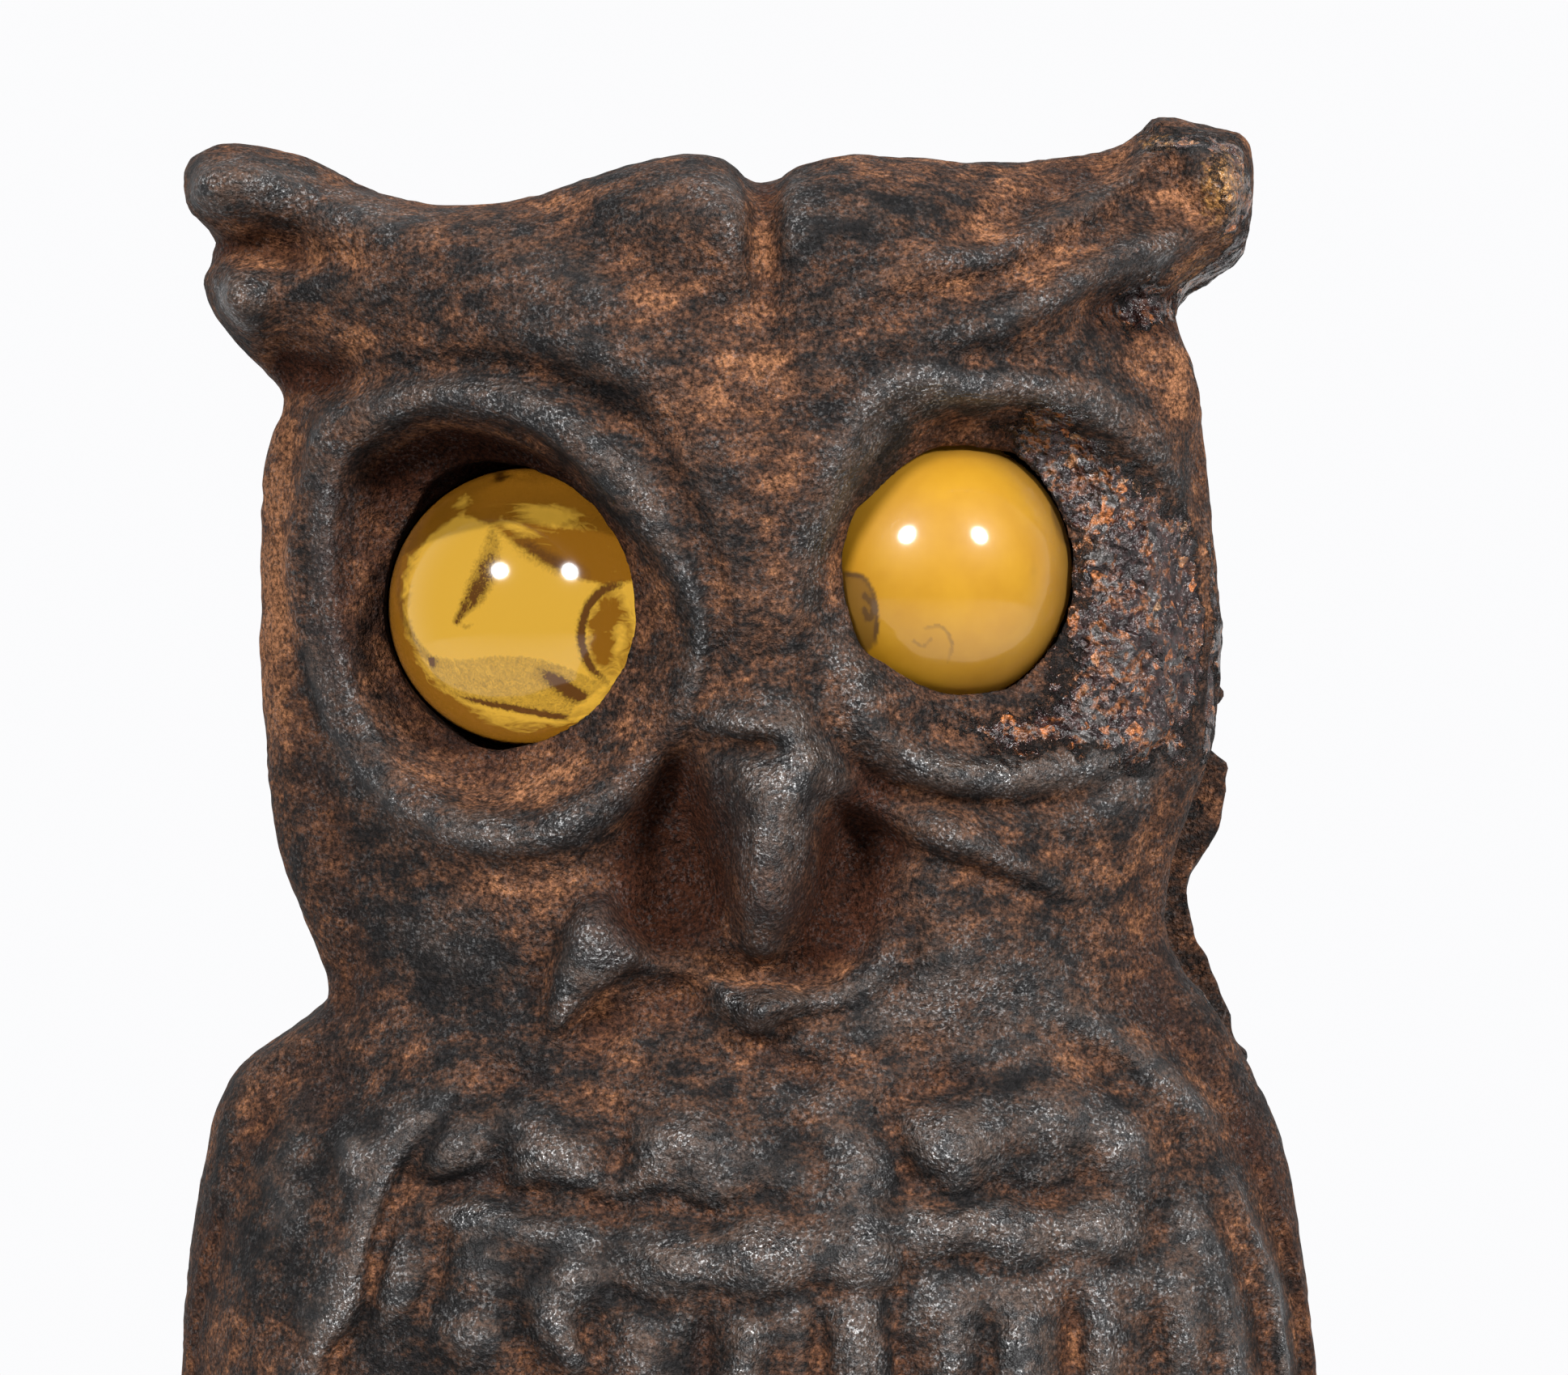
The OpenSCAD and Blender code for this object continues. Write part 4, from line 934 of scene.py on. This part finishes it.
class Surface:
    """A principled material and a short way to add its nodes."""

    def __init__(self, name):
        self.material = bpy.data.materials.new(name)
        self.material.use_nodes = True
        self.nodes = self.material.node_tree.nodes
        self.links = self.material.node_tree.links
        self.shader = self.nodes["Principled BSDF"]
        self.place = self.add("ShaderNodeTexCoord").outputs["Object"]

    def put(self, socket, value):
        """Sets a socket to a value, or links another node's output to it."""
        if isinstance(value, bpy.types.NodeSocket):
            self.links.new(value, socket)
        else:
            socket.default_value = value

    def add(self, kind, inputs=None, **settings):
        node = self.nodes.new(kind)
        for key, value in settings.items():
            setattr(node, key, value)
        for key, value in (inputs or {}).items():
            self.put(node.inputs[key], value)
        return node

    def set(self, **inputs):
        for key, value in inputs.items():
            self.put(self.shader.inputs[key.replace("_", " ")], value)

    def math(self, operation, a, b=0.0, c=0.0):
        return self.add("ShaderNodeMath", {0: a, 1: b, 2: c}, operation=operation).outputs[0]

    def scaled(self, value, factor, plus=0.0):
        """value * factor + plus"""
        return self.math("MULTIPLY_ADD", value, factor, plus)

    def noise(self, size_mm, detail=3.0, roughness=0.55, stretch=(1, 1, 1), distortion=0.0):
        """Noise from 0 to 1 whose main features are size_mm across."""
        scale = tuple(1 / (size_mm * MM * v) for v in stretch)
        moved = self.add("ShaderNodeMapping", {"Vector": self.place, "Scale": scale}).outputs[0]
        return self.add("ShaderNodeTexNoise", {"Vector": moved, "Scale": 1.0, "Detail": detail,
                                               "Roughness": roughness, "Distortion": distortion}).outputs[0]

    def cells(self, size_mm, feature="F1", output="Distance"):
        inputs = {"Vector": self.place, "Scale": 1 / (size_mm * MM), "Randomness": 1.0}
        return self.add("ShaderNodeTexVoronoi", inputs, feature=feature).outputs[output]

    def ramp(self, value, stops):
        """A colour ramp through (place, colour) stops; a colour is r, g, b in linear light."""
        node = self.add("ShaderNodeValToRGB", {"Fac": value})
        marks = node.color_ramp.elements
        while len(marks) < len(stops):
            marks.new(0.5)
        for mark, (at, colour) in zip(marks, stops):
            mark.position = at
            mark.color = (*colour, 1)
        return node.outputs[0]

    def range(self, value, low, high, to_low=0.0, to_high=1.0):
        return self.add("ShaderNodeMapRange", {"Value": value, "From Min": low, "From Max": high,
                                               "To Min": to_low, "To Max": to_high}).outputs[0]

    def blend(self, share, a, b):
        node = self.add("ShaderNodeMix", data_type="RGBA")
        for i, value in ((0, share), (6, a), (7, b)):
            if isinstance(value, tuple):
                value = (*value, 1)
            self.put(node.inputs[i], value)
        return node.outputs[2]

    def attribute(self, name):
        return self.add("ShaderNodeAttribute", attribute_name=name).outputs["Fac"]

    def bump(self, height, distance_mm, under=None):
        """Roughens the surface by a map, on top of the bump that lies under it."""
        inputs = {"Height": height, "Distance": distance_mm * MM, "Strength": 1.0}
        if under is not None:
            inputs["Normal"] = under
        return self.add("ShaderNodeBump", inputs).outputs[0]


# Colours of the iron's skin from bare to orange rust, in linear light.
IRON_TONES = [(0.0, (0.006, 0.0052, 0.0054)), (0.22, (0.014, 0.0096, 0.0082)),
              (0.42, (0.036, 0.0188, 0.0125)),
              (0.62, (0.070, 0.0325, 0.0190)), (0.82, (0.122, 0.054, 0.028)), (1.0, (0.215, 0.094, 0.044))]
# Dark red-brown of deep rust, which also paints the shade in the recesses.
DEEP_RUST_AND_SHADE = (0.034, 0.0105, 0.0045)
WORN_IRON = (0.054, 0.035, 0.026)


def rusty_iron(name, rust=0.4, mapped=False, grain=1.0, gloss=0.3):
    """Sand-cast or forged iron: bare dark metal that goes over to brown and orange rust."""
    m = Surface(name)
    patches = m.range(m.noise(15, 4, 0.62), 0.34, 0.66)
    blotches = m.range(m.noise(4.2, 4, 0.66, stretch=(1.5, 1, 0.8)), 0.34, 0.66)
    specks = m.range(m.noise(0.9, 2, 0.7, stretch=(1.3, 1, 0.9)), 0.34, 0.66)
    amount = m.scaled(patches, 0.56, rust - 0.28)
    amount = m.scaled(blotches, 0.64, m.math("SUBTRACT", amount, 0.32))
    amount = m.scaled(specks, 0.36, m.math("SUBTRACT", amount, 0.18))
    polish = gloss
    if mapped:
        amount = m.scaled(m.attribute("hollow"), 0.2, amount)
        amount = m.scaled(m.attribute("rust"), 0.5, amount)
        polish = m.math("MAXIMUM", m.attribute("polish"), gloss)
    colour = m.ramp(amount, IRON_TONES)
    bare = m.math("MULTIPLY", m.range(amount, 0.25, 0.75, 1.0, 0.25), polish)
    clusters = m.range(m.noise(6, 4, 0.7), 0.42, 0.6)
    glints = m.math("MULTIPLY", m.range(m.noise(0.55, 2, 0.6), 0.52, 0.64),
                    m.math("MULTIPLY", clusters, polish))
    level = m.scaled(glints, 1.9, m.range(bare, 0.0, 1.0, 0.04, 0.26))
    rough = m.scaled(glints, -0.1, m.range(bare, 0.0, 1.0, 0.8, 0.36))
    normal = m.bump(m.noise(2.6, 3, 0.6), 0.7 * grain)
    normal = m.bump(m.noise(1.1, 3, 0.75), 0.85 * grain, under=normal)
    normal = m.bump(m.noise(0.5, 1, 0.5), 0.2 * grain, under=normal)
    if mapped:
        worn = m.math("MULTIPLY", m.attribute("polish"), m.range(blotches, 0.25, 0.75, 0.0, 1.0))
        colour = m.blend(worn, colour, WORN_IRON)
        # painted shade with dark rust in the deep places
        colour = m.blend(m.range(m.attribute("deep"), 0.05, 0.8), colour, DEEP_RUST_AND_SHADE)
        crust = m.attribute("crust")
        crystals = m.cells(1.9, output="Color")
        tone = m.ramp(m.add("ShaderNodeSeparateColor", {"Color": crystals}).outputs[0], [
            (0.0, (0.007, 0.0025, 0.003)), (0.4, (0.018, 0.006, 0.006)), (0.66, (0.046, 0.016, 0.011)),
            (0.82, (0.12, 0.043, 0.018)), (0.93, (0.34, 0.10, 0.022)), (1.0, (0.25, 0.13, 0.06))])
        scale = m.ramp(m.noise(6, 3, 0.6), [(0.36, (0.010, 0.004, 0.005)), (0.47, (0.030, 0.012, 0.010)),
                                            (0.54, (0.19, 0.064, 0.018)), (0.58, (0.075, 0.068, 0.066))])
        tone = m.blend(m.range(m.noise(2.8, 3), 0.44, 0.56), tone, scale)
        share = m.range(m.scaled(m.noise(4.4, 5, 0.72), 2.0, crust), 1.42, 1.62)
        colour = m.blend(share, colour, tone)
        rough = m.scaled(share, m.math("SUBTRACT", 0.26, rough), rough)
        level = m.scaled(share, m.math("SUBTRACT", 0.34, level), level)
        pits = m.scaled(m.cells(2.9, feature="SMOOTH_F1"), 1.6, m.cells(1.2, feature="SMOOTH_F1"))
        normal = m.bump(m.math("MULTIPLY", pits, share), 1.2, under=normal)
        ochre = m.range(m.scaled(m.noise(1.6, 3), 1.2, m.attribute("ochre")), 1.05, 1.5)
        colour = m.blend(ochre, colour, m.ramp(m.noise(1.2, 2), [
            (0.35, (0.09, 0.034, 0.012)), (0.5, (0.22, 0.10, 0.03)), (0.68, (0.40, 0.20, 0.06))]))
    mottle = m.range(m.noise(0.75, 2, 0.7), 0.36, 0.64, 0.35, 1.75)
    colour = m.add("ShaderNodeVectorMath", {0: colour, "Scale": mottle}, operation="SCALE").outputs[0]
    m.set(Base_Color=colour, Roughness=rough, Normal=normal, Specular_IOR_Level=level, IOR=1.9)
    return m.material


def amber_glass(name, clear):
    """Moulded amber glass: one clear, with bruises and folds in it and a painted dark cap, the other
    scratched and milky, with painted shadow across its top.
    """
    m = Surface(name)
    marks, brown_and_shade, gap_shade = m.attribute("shade"), m.attribute("brown_and_shade"), m.attribute("gap_shade")
    if clear:
        fibres = m.noise(0.8, 4, 0.75, stretch=(1.0, 1, 1.5), distortion=1.6)
        folds = m.noise(3.4, 3, 0.6, stretch=(1.8, 1, 0.7), distortion=1.5)
        share = m.math("MULTIPLY", m.range(m.math("ADD", fibres, marks), 0.72, 1.3),
                       m.range(marks, 0.06, 0.25))
        # painted shade: the clear glass goes deep brown in its upper cap, with folds in it
        cap = m.math("MULTIPLY", m.range(m.scaled(folds, 1.2, brown_and_shade), 0.8, 1.35),
                     m.range(brown_and_shade, 0.05, 0.3))
        colour = m.blend(cap, (0.80, 0.45, 0.050), (0.105, 0.030, 0.0014))
        colour = m.blend(share, colour, (0.024, 0.0062, 0.0022))
        # painted shade in the gap around the dome
        colour = m.blend(gap_shade, colour, (0.004, 0.002, 0.001))
        m.set(Base_Color=colour, Roughness=0.11, Transmission_Weight=1.0, IOR=1.5, Specular_IOR_Level=0.6)
        return m.material
    clouds = m.noise(9, 3, 0.55)
    colour = m.ramp(clouds, [(0.3, (0.53, 0.250, 0.009)), (0.7, (0.62, 0.315, 0.016))])
    # browner glass, with painted shadow across the top of the milky glass
    colour = m.blend(m.range(brown_and_shade, 0.0, 1.0, 0.0, 0.8), colour, (0.30, 0.15, 0.03))
    colour = m.blend(m.range(marks, 0.1, 0.8), colour, (0.12, 0.06, 0.018))
    # painted shade in the gap around the dome
    colour = m.blend(gap_shade, colour, (0.006, 0.003, 0.001))
    streaks = m.noise(0.5, 2, 0.5, stretch=(0.7, 1, 9))
    m.set(Base_Color=colour, Roughness=m.range(streaks, 0.4, 0.7, 0.46, 0.52), Transmission_Weight=0.3,
          IOR=1.5,
          Coat_Weight=0.9, Coat_Roughness=0.12, Specular_IOR_Level=0.2)
    return m.material


def packing_material():
    m = Surface("sooty_packing")
    fibres = m.noise(0.8, 4, 0.65, stretch=(3, 1, 1))
    m.set(Base_Color=m.ramp(fibres, [(0.3, (0.05, 0.04, 0.03)), (0.7, (0.22, 0.17, 0.12))]), Roughness=0.9,
          Normal=m.bump(fibres, 0.3))
    return m.material


def floor_material():
    m = Surface("studio_floor")
    paper = m.ramp(m.noise(220, 2), [(0.3, (0.66, 0.66, 0.67)), (0.7, (0.70, 0.70, 0.70))])
    away = m.add("ShaderNodeSeparateXYZ", {"Vector": m.place}).outputs["Y"]
    # Painted shade: the floor goes dark on the camera's side, where the studio is dark.
    m.set(Base_Color=m.blend(m.range(away, -0.3, -0.85), paper, (0.05, 0.05, 0.05)), Roughness=0.8)
    return m.material


# ---- Glasses, bar and fasteners ----

def turned(profile, segments):
    """A closed surface of revolution around out, through (radius, out) points from axis to axis."""
    turns = [(math.cos(2 * math.pi * k / segments),
              math.sin(2 * math.pi * k / segments)) for k in range(segments)]
    points, faces = [(0, profile[0][1], 0)], []
    for r, out in profile[1:-1]:
        points += [(r * c, out, r * s) for c, s in turns]
    points.append((0, profile[-1][1], 0))
    rings = len(profile) - 2
    last = len(points) - 1
    for k in range(segments):
        n = (k + 1) % segments
        faces.append((0, 1 + k, 1 + n))
        for ring in range(rings - 1):
            a = 1 + ring * segments
            faces.append((a + k, a + segments + k, a + segments + n, a + n))
        a = 1 + (rings - 1) * segments
        faces.append((a + k, last, a + n))
    return points, faces


def corner(a, b, c, r, count=4):
    """Points of a small round at b on the way from a to c."""
    a, b, c = (np.array(v, float) for v in (a, b, c))
    p, q = b + (a - b) / np.hypot(*(a - b)) * r, b + (c - b) / np.hypot(*(c - b)) * r
    return [tuple((1 - t) ** 2 * p + 2 * t * (1 - t) * b + t * t * q) for t in np.linspace(0, 1, count)]


def build_glass(name, glass, marks, seed):
    """A pressed glass: flat back, flange, short neck and dome, with its marks and painted shade in maps."""
    edge = FLANGE_R - 0.1
    low, top = GASKET_OUT + 0.02, SEAT_OUT - 0.1
    profile = [(0, low)] + [(r, low) for r in np.linspace(1, edge - 2, 14)]
    profile += corner((0, low), (edge, low), (edge, top), 1.0)
    profile += corner((edge, low), (edge, top), (GLASS_R, top), 1.0)
    profile += corner((edge, top), (GLASS_R, top), (GLASS_R, GLASS_OUT), 0.8)
    profile += [(GLASS_R, out) for out in np.linspace(SEAT_OUT + 1.5, GLASS_OUT, 7)]
    angles = np.radians(np.linspace(0, 90, 86))[1:]
    profile += [(GLASS_R * math.cos(a), GLASS_OUT + GLASS_R * math.sin(a)) for a in angles[:-1]]
    profile += [(0, GLASS_OUT + GLASS_R)]
    points, faces = turned(profile, 260)
    points = np.array(points) + (glass[0], 0, glass[1])
    dome = points[:, 1] > GLASS_OUT - 6
    points += (noise_at(points, 9, seed) * 0.05 * dome)[:, None] * np.array([0.4, 1, 0.4])
    obj = smooth_mesh(name, points, faces)

    x, z = points[:, 0], points[:, 2]
    step = 0.25
    span = np.arange(-GLASS_R - 1, GLASS_R + 1, step)
    grid_x, grid_z = np.meshgrid(glass[0] + span, glass[1] + span)
    r = np.hypot(x - glass[0], z - glass[1])
    # Painted shade: the flange and the neck go near black, as they show in the dark gap around the dome.
    gap_shade = ease((r - GLASS_R + 0.25) / 0.2) * (points[:, 1] < GLASS_OUT)
    # Both glasses turn browner towards their edge.
    rim = 0.75 * ease((np.hypot(grid_x - glass[0], grid_z - glass[1]) - 15.5) / 7)
    for attribute, shapes in marks.items():
        made = Relief(grid_x, grid_z, rim * (attribute == "brown_and_shade"))
        for kind, *args in shapes:
            getattr(made, kind)(*args)
        u, v = (np.clip((at - start) / step, 0, len(span) - 1).astype(int)
                for at, start in ((x, grid_x[0, 0]), (z, grid_z[0, 0])))
        values = unit(made.depth[v, u]) * (points[:, 1] > GLASS_OUT - 3)
        write_map(obj.data, attribute, values)
    write_map(obj.data, "gap_shade", gap_shade)
    return obj


# Marks in the glasses. "shade" is dark: chips, bruises and fibres. The browner map is thicker, browner glass
# in part,
# and painted shade in part: the left glass's dark upper cap stands for the plate's edge seen through the
# lens, and the right glass's browner top is painted shadow.
LEFT_MARKS = {
    "shade": [
        ("stroke", [(-40.2, 325.8), (-40.6, 321.2), (-42.6, 316.8), (-45.6, 312.4)], [0.9, 2.1, 2.1, 0.5],
         [1.1, 2.3, 2.1, 0.6], [0.45, 0.75, 0.85, 0.8], 3),
        ("stroke", [(-47, 312.2), (-44, 311.6), (-42.4, 312.6)], 0.5, 0.5, [0, 0.6, 0]),
        ("stroke", [(-39, 326.4), (-34.4, 323.8), (-30.2, 321.4), (-26, 320)], 1.3, 2, [0.2, 0.75, 0.8, 0.4]),
        ("stroke", [(-20.6, 317.8), (-23.4, 316.8), (-25.6, 313.8), (-26.3, 309.6), (-25, 305.6),
                    (-22.6, 303.2)],
         0.5, 1.1, [0.7, 1, 1, 1, 1, 0.5], 3),
        ("plateau", [(-50.1, 306.9), (-45.2, 306.6), (-38.9, 307.2), (-32.6, 306.6), (-28.1, 305.1),
                     (-23.6, 302.4),
                     (-27.2, 299.7), (-29.5, 297.4), (-34.4, 298.2), (-41.6, 299.7), (-45.2, 300.6),
                     (-48.7, 302.9)], 0.7, 0.5),
        ("stroke", [(-46, 300.6), (-41.6, 299.8), (-34.4, 298.4), (-29, 297.4)], 0.6, 0.6,
         [0.3, 0.6, 0.7, 0.5]),
        ("stroke", [(-34, 305.8), (-30, 303.2), (-26.4, 300.8)], 0.8, 1.4, [0, 0.6, 0.5]),
        ("stroke", [(-55.2, 322), (-54.8, 316), (-53, 310.6), (-49.6, 306.2)], 0.7, 0.8,
         [0.4, 0.6, 0.7, 0.6]),
        ("stroke", [(-53.4, 318), (-53, 325), (-50, 330)], 0.9, 1.2, [0.2, 0.55, 0.3]),
    ],
    "brown_and_shade": [
        # Painted shade: this darker upper cap stands for the plate's edge seen through the lens.
        ("plateau", [(-53.4, 323.4), (-50, 326), (-45.2, 328.4), (-40.7, 327.1), (-36.2, 323.9),
                     (-30.8, 320.8),
                     (-25.4, 318.4), (-20, 318.4), (-16, 321), (-19, 331), (-27, 339), (-38, 341), (-48, 337),
                     (-55, 330)], 2, 0.95),
        ("lump", (-31.5, 328.6), (5, 1.6), -0.9, -8),
        ("lump", (-36.4, 326.6), (3.4, 0.9), -0.6, -20),
        ("lump", (-45.4, 331.2), (2.4, 1.8), -0.8, 20),
        ("lump", (-22.2, 310.4), (3.6, 7), 0.95, 0, 5),
        ("lump", (-20.8, 309.6), (1.2, 3.6), -0.7, -6),
        ("plateau", [(-56, 300), (-48.7, 301.6), (-41.6, 298.8), (-29.5, 296.6), (-20, 300), (-20, 290),
                     (-40, 288)],
         1.4, 0.34),
        ("stroke", [(-56, 323), (-56.4, 314), (-53, 305), (-47, 298)], 2.6, 2.6, [0.5, 0.6, 0.55, 0.5]),
    ],
}
RIGHT_MARKS = {
    "shade": [
        ("plateau", [(11, 321), (14.2, 319.9), (16.4, 319.4), (18.1, 317), (18.8, 313.5), (18.5, 309.4),
                     (16, 307),
                     (11, 308)], 0.8, 0.6),
        ("stroke", [(14.2, 319.8), (16.6, 319.2), (18.2, 316.8), (18.8, 313.2), (18.6, 309)], 0.35, 0.35,
         0.4),
        ("stroke", [(16.8, 316.4), (18.2, 314.6), (17.4, 312.8), (16.8, 314.2)], 0.35, 0.35, 0.45),
        ("stroke", [(24.2, 309.4), (25.8, 308.6), (26.9, 309.7)], 0.3, 0.3, 0.4),
        ("stroke", [(26, 311.4), (28.6, 311.6), (30.2, 309), (29.6, 306)], 0.3, 0.4, [0.35, 0.45, 0.5, 0.2]),
        ("plateau", [(45.8, 330.4), (48, 328.2), (48.6, 324.4), (47, 325), (45.9, 327.8)], 0.8, 0.34),
        ("stroke", [(45.8, 330.2), (46.6, 327.8), (48.2, 324.4)], 0.3, 0.3, 0.3),
        ("stroke", [(42.2, 326), (42.8, 320), (42.4, 315)], 1.1, 1.1, [0, 0.2, 0]),
    ],
    "brown_and_shade": [
        ("lump", (28, 308.4), (3, 3.4), 0.15, 0),
        ("stroke", [(43.6, 331), (48.6, 322), (47.4, 311), (41, 304)], 2.2, 4, [0.3, 0.4, 0.35, 0.2]),
        # Painted shadow: the milky glass is browner across its top.
        ("stroke", [(15, 329), (24, 337), (33, 340), (43, 337)], 3.6, 3.6, [0.25, 0.35, 0.35, 0.3]),
        ("lump", (27, 325), (14, 9), 0.12, 0),
    ],
}


def build_log_bar():
    """The forged bar: tab, straight run, bend and leg, with hammered faces and soft edges."""
    half = BAR_W / 2
    leg = BAR_REACH - 17
    bend = leg - BEND_R + half
    s = Solid((-TAB_HALF - 4, -BAR_REACH - 4, -2), (TAB_HALF + 4, 4, BAR_TOP + 4), 1.25)
    reach = -s.out
    level = BAR_TOP - half
    run = np.abs(s.z - level) + 0 * reach
    arc = np.abs(np.hypot(reach - bend, s.z - (BAR_TOP - BEND_R)) - (BEND_R - half))
    down = np.abs(reach - leg) + 0 * s.z
    off = np.where(reach < bend, run, np.where(s.z > BAR_TOP - BEND_R, arc, down))
    bar = rounded_max(np.abs(s.x) - half, off - half, 1.6)
    bar = np.maximum(np.maximum(bar, -reach), np.where(reach > bend, FOOT_T - s.z, -9))
    s.field = bar.astype(np.float32)
    s.block((-TAB_HALF, -TAB_T, BAR_TOP - TAB_H), (TAB_HALF, 0, BAR_TOP), 1.2, blend=3)
    w, x, out, z = s.window((-8, -leg - 8, -2), (8, -leg + 8, FOOT_T + 3))
    tenon = rounded_max(np.hypot(x, out + leg) - 5, np.abs(z - 4) - 4, 0.6)
    s.join(w, tenon, 0.5)
    for side in (-1, 1):
        s.drum((side * BOLT_X, BOLT_Z), 4.4, -TAB_T - 4, 4, blend=0.5, cut=True)
    obj = s.mesh("hammered_bar")
    at, normal = surface_of(obj.data)
    mm = at / MM
    free = ease((mm[:, 1] - RIM_Y / MM - TAB_T - 1) / 6) * ease((mm[:, 2] - FOOT_T) / 4)
    rise = -0.35 + 0.3 * noise_at(mm, 13, 21) + 0.12 * noise_at(mm, 4, 22)
    at += normal * (free * rise * MM)[:, None]
    move_points(obj.data, at)
    return obj


def soften(node, width_mm):
    """Round edges for a CAD part that stays."""
    obj = bpy.data.objects[node]
    weld = obj.modifiers.new("weld", "WELD")
    weld.merge_threshold = 0.01 * MM
    bevel = obj.modifiers.new("edges", "BEVEL")
    bevel.width = width_mm * MM
    bevel.segments = 2
    bevel.limit_method = "ANGLE"
    bevel.angle_limit = math.radians(40)
    bevel.harden_normals = False
    return obj


def give(obj, material):
    """Puts a material on every slot of an object."""
    if obj.material_slots:
        for slot in obj.material_slots:
            slot.link = "OBJECT"
            slot.material = material
    else:
        obj.data.materials.append(material)


def add_piece(obj, node, material):
    give(obj, material)
    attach(obj, "root")
    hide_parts(node)


# ---- Scene ----

casting = build_casting()
casting.name = "owl_casting_skin"
add_piece(casting, "owl_casting", rusty_iron("rusted_cast_iron", 0.48, mapped=True, gloss=0.16))
add_piece(build_glass("left_eye_glass", LEFT_GLASS, LEFT_MARKS, 31), "left_eye",
          amber_glass("clear_amber", True))
add_piece(build_glass("right_eye_glass", RIGHT_GLASS, RIGHT_MARKS, 32), "right_eye",
          amber_glass("scratched_amber", False))
add_piece(build_log_bar(), "log_bar", rusty_iron("forged_bar_iron", 0.42, gloss=0.5))

PLAIN = (
    ("eye_plate", rusty_iron("plate_iron", 0.6, gloss=0.55), 0.5),
    ("rear_foot", rusty_iron("foot_iron", 0.45, gloss=0.5), 1.0),
    ("plate_nut", rusty_iron("nut_iron", 0.5, grain=0.6), 0.6),
    ("plate_washer", rusty_iron("washer_iron", 0.5, grain=0.6), 0.25),
    ("plate_stud", rusty_iron("stud_iron", 0.45, grain=0.5), 0.5),
    ("bar_bolts", rusty_iron("bolt_iron", 0.5, grain=0.6), 0.7),
    ("bar_washers", rusty_iron("bar_washer_iron", 0.48, grain=0.6), 0.25),
    ("left_eye_gasket", packing_material(), 0.4),
    ("right_eye_gasket", packing_material(), 0.4),
)
for node, material, width in PLAIN:
    give(soften(node, width), material)

FLOOR_R = 0.9
FLOOR_SIDES = 96
floor_points, floor_faces = [(0, 0, 0)], []
for k in range(FLOOR_SIDES):
    turn = 2 * math.pi * k / FLOOR_SIDES
    floor_points.append((FLOOR_R * math.cos(turn), FLOOR_R * math.sin(turn), 0))
    floor_faces.append((0, 1 + k, 1 + (k + 1) % FLOOR_SIDES))
floor_mesh = bpy.data.meshes.new("floor")
floor_mesh.from_pydata(floor_points, [], floor_faces)
floor_mesh.materials.append(floor_material())
floor = new_object("floor", floor_mesh)

# A white studio behind the figure, which fades to dark on the camera's side.
world = bpy.data.worlds.new("studio")
bpy.context.scene.world = world
world.use_nodes = True
sky = world.node_tree
background = sky.nodes["Background"]
coordinates = sky.nodes.new("ShaderNodeTexCoord")
split = sky.nodes.new("ShaderNodeSeparateXYZ")
sky.links.new(coordinates.outputs["Generated"], split.inputs[0])
fade = sky.nodes.new("ShaderNodeMapRange")
for key, value in (("From Min", -0.3), ("From Max", 0.6), ("To Min", 0.0), ("To Max", 1.0)):
    fade.inputs[key].default_value = value
fade.interpolation_type = "SMOOTHSTEP"
sky.links.new(split.outputs["Y"], fade.inputs["Value"])
ramp = sky.nodes.new("ShaderNodeValToRGB")
ramp.color_ramp.elements[0].color = (0.05, 0.05, 0.052, 1)
ramp.color_ramp.elements[1].color = (0.97, 0.97, 0.98, 1)
sky.links.new(fade.outputs[0], ramp.inputs[0])
sky.links.new(ramp.outputs[0], background.inputs["Color"])
background.inputs["Strength"].default_value = 1.0

# Two round soft lamps, one on each side of the camera, which show as two spots in each glass.
AIM = Vector(place(0, 50, 310))
LAMP_DISTANCE = 1.3
LAMP_SIZE = 0.28
LAMP_POWER = 20
for name, direction in (("key_left", (-0.353, -0.80, 0.486)), ("key_right", (0.584, -0.663, 0.467))):
    data = bpy.data.lights.new(name, "AREA")
    data.shape = "DISK"
    data.size = LAMP_SIZE
    data.energy = LAMP_POWER
    lamp = new_object(name, data)
    lamp.location = AIM + Vector(direction).normalized() * LAMP_DISTANCE
    lamp.rotation_euler = (AIM - lamp.location).to_track_quat("-Z", "Y").to_euler()

# The camera looks straight at the front, and its distance counts from a plane through the glasses,
# which lies VIEW_OUT in front of the back rim. These four are in metres.
VIEW_X, VIEW_Z = 0.0046, 0.3024
VIEW_OUT = 0.045
CAMERA_DISTANCE = 1.009
camera_data = bpy.data.cameras.new("camera")
camera_data.lens = 150
camera_data.sensor_width = 36
camera = new_object("camera", camera_data)
camera.location = (VIEW_X, RIM_Y - VIEW_OUT - CAMERA_DISTANCE, VIEW_Z)
camera.rotation_euler = (math.radians(90), 0, 0)
bpy.context.scene.camera = camera
bpy.context.scene.view_settings.view_transform = "Standard"
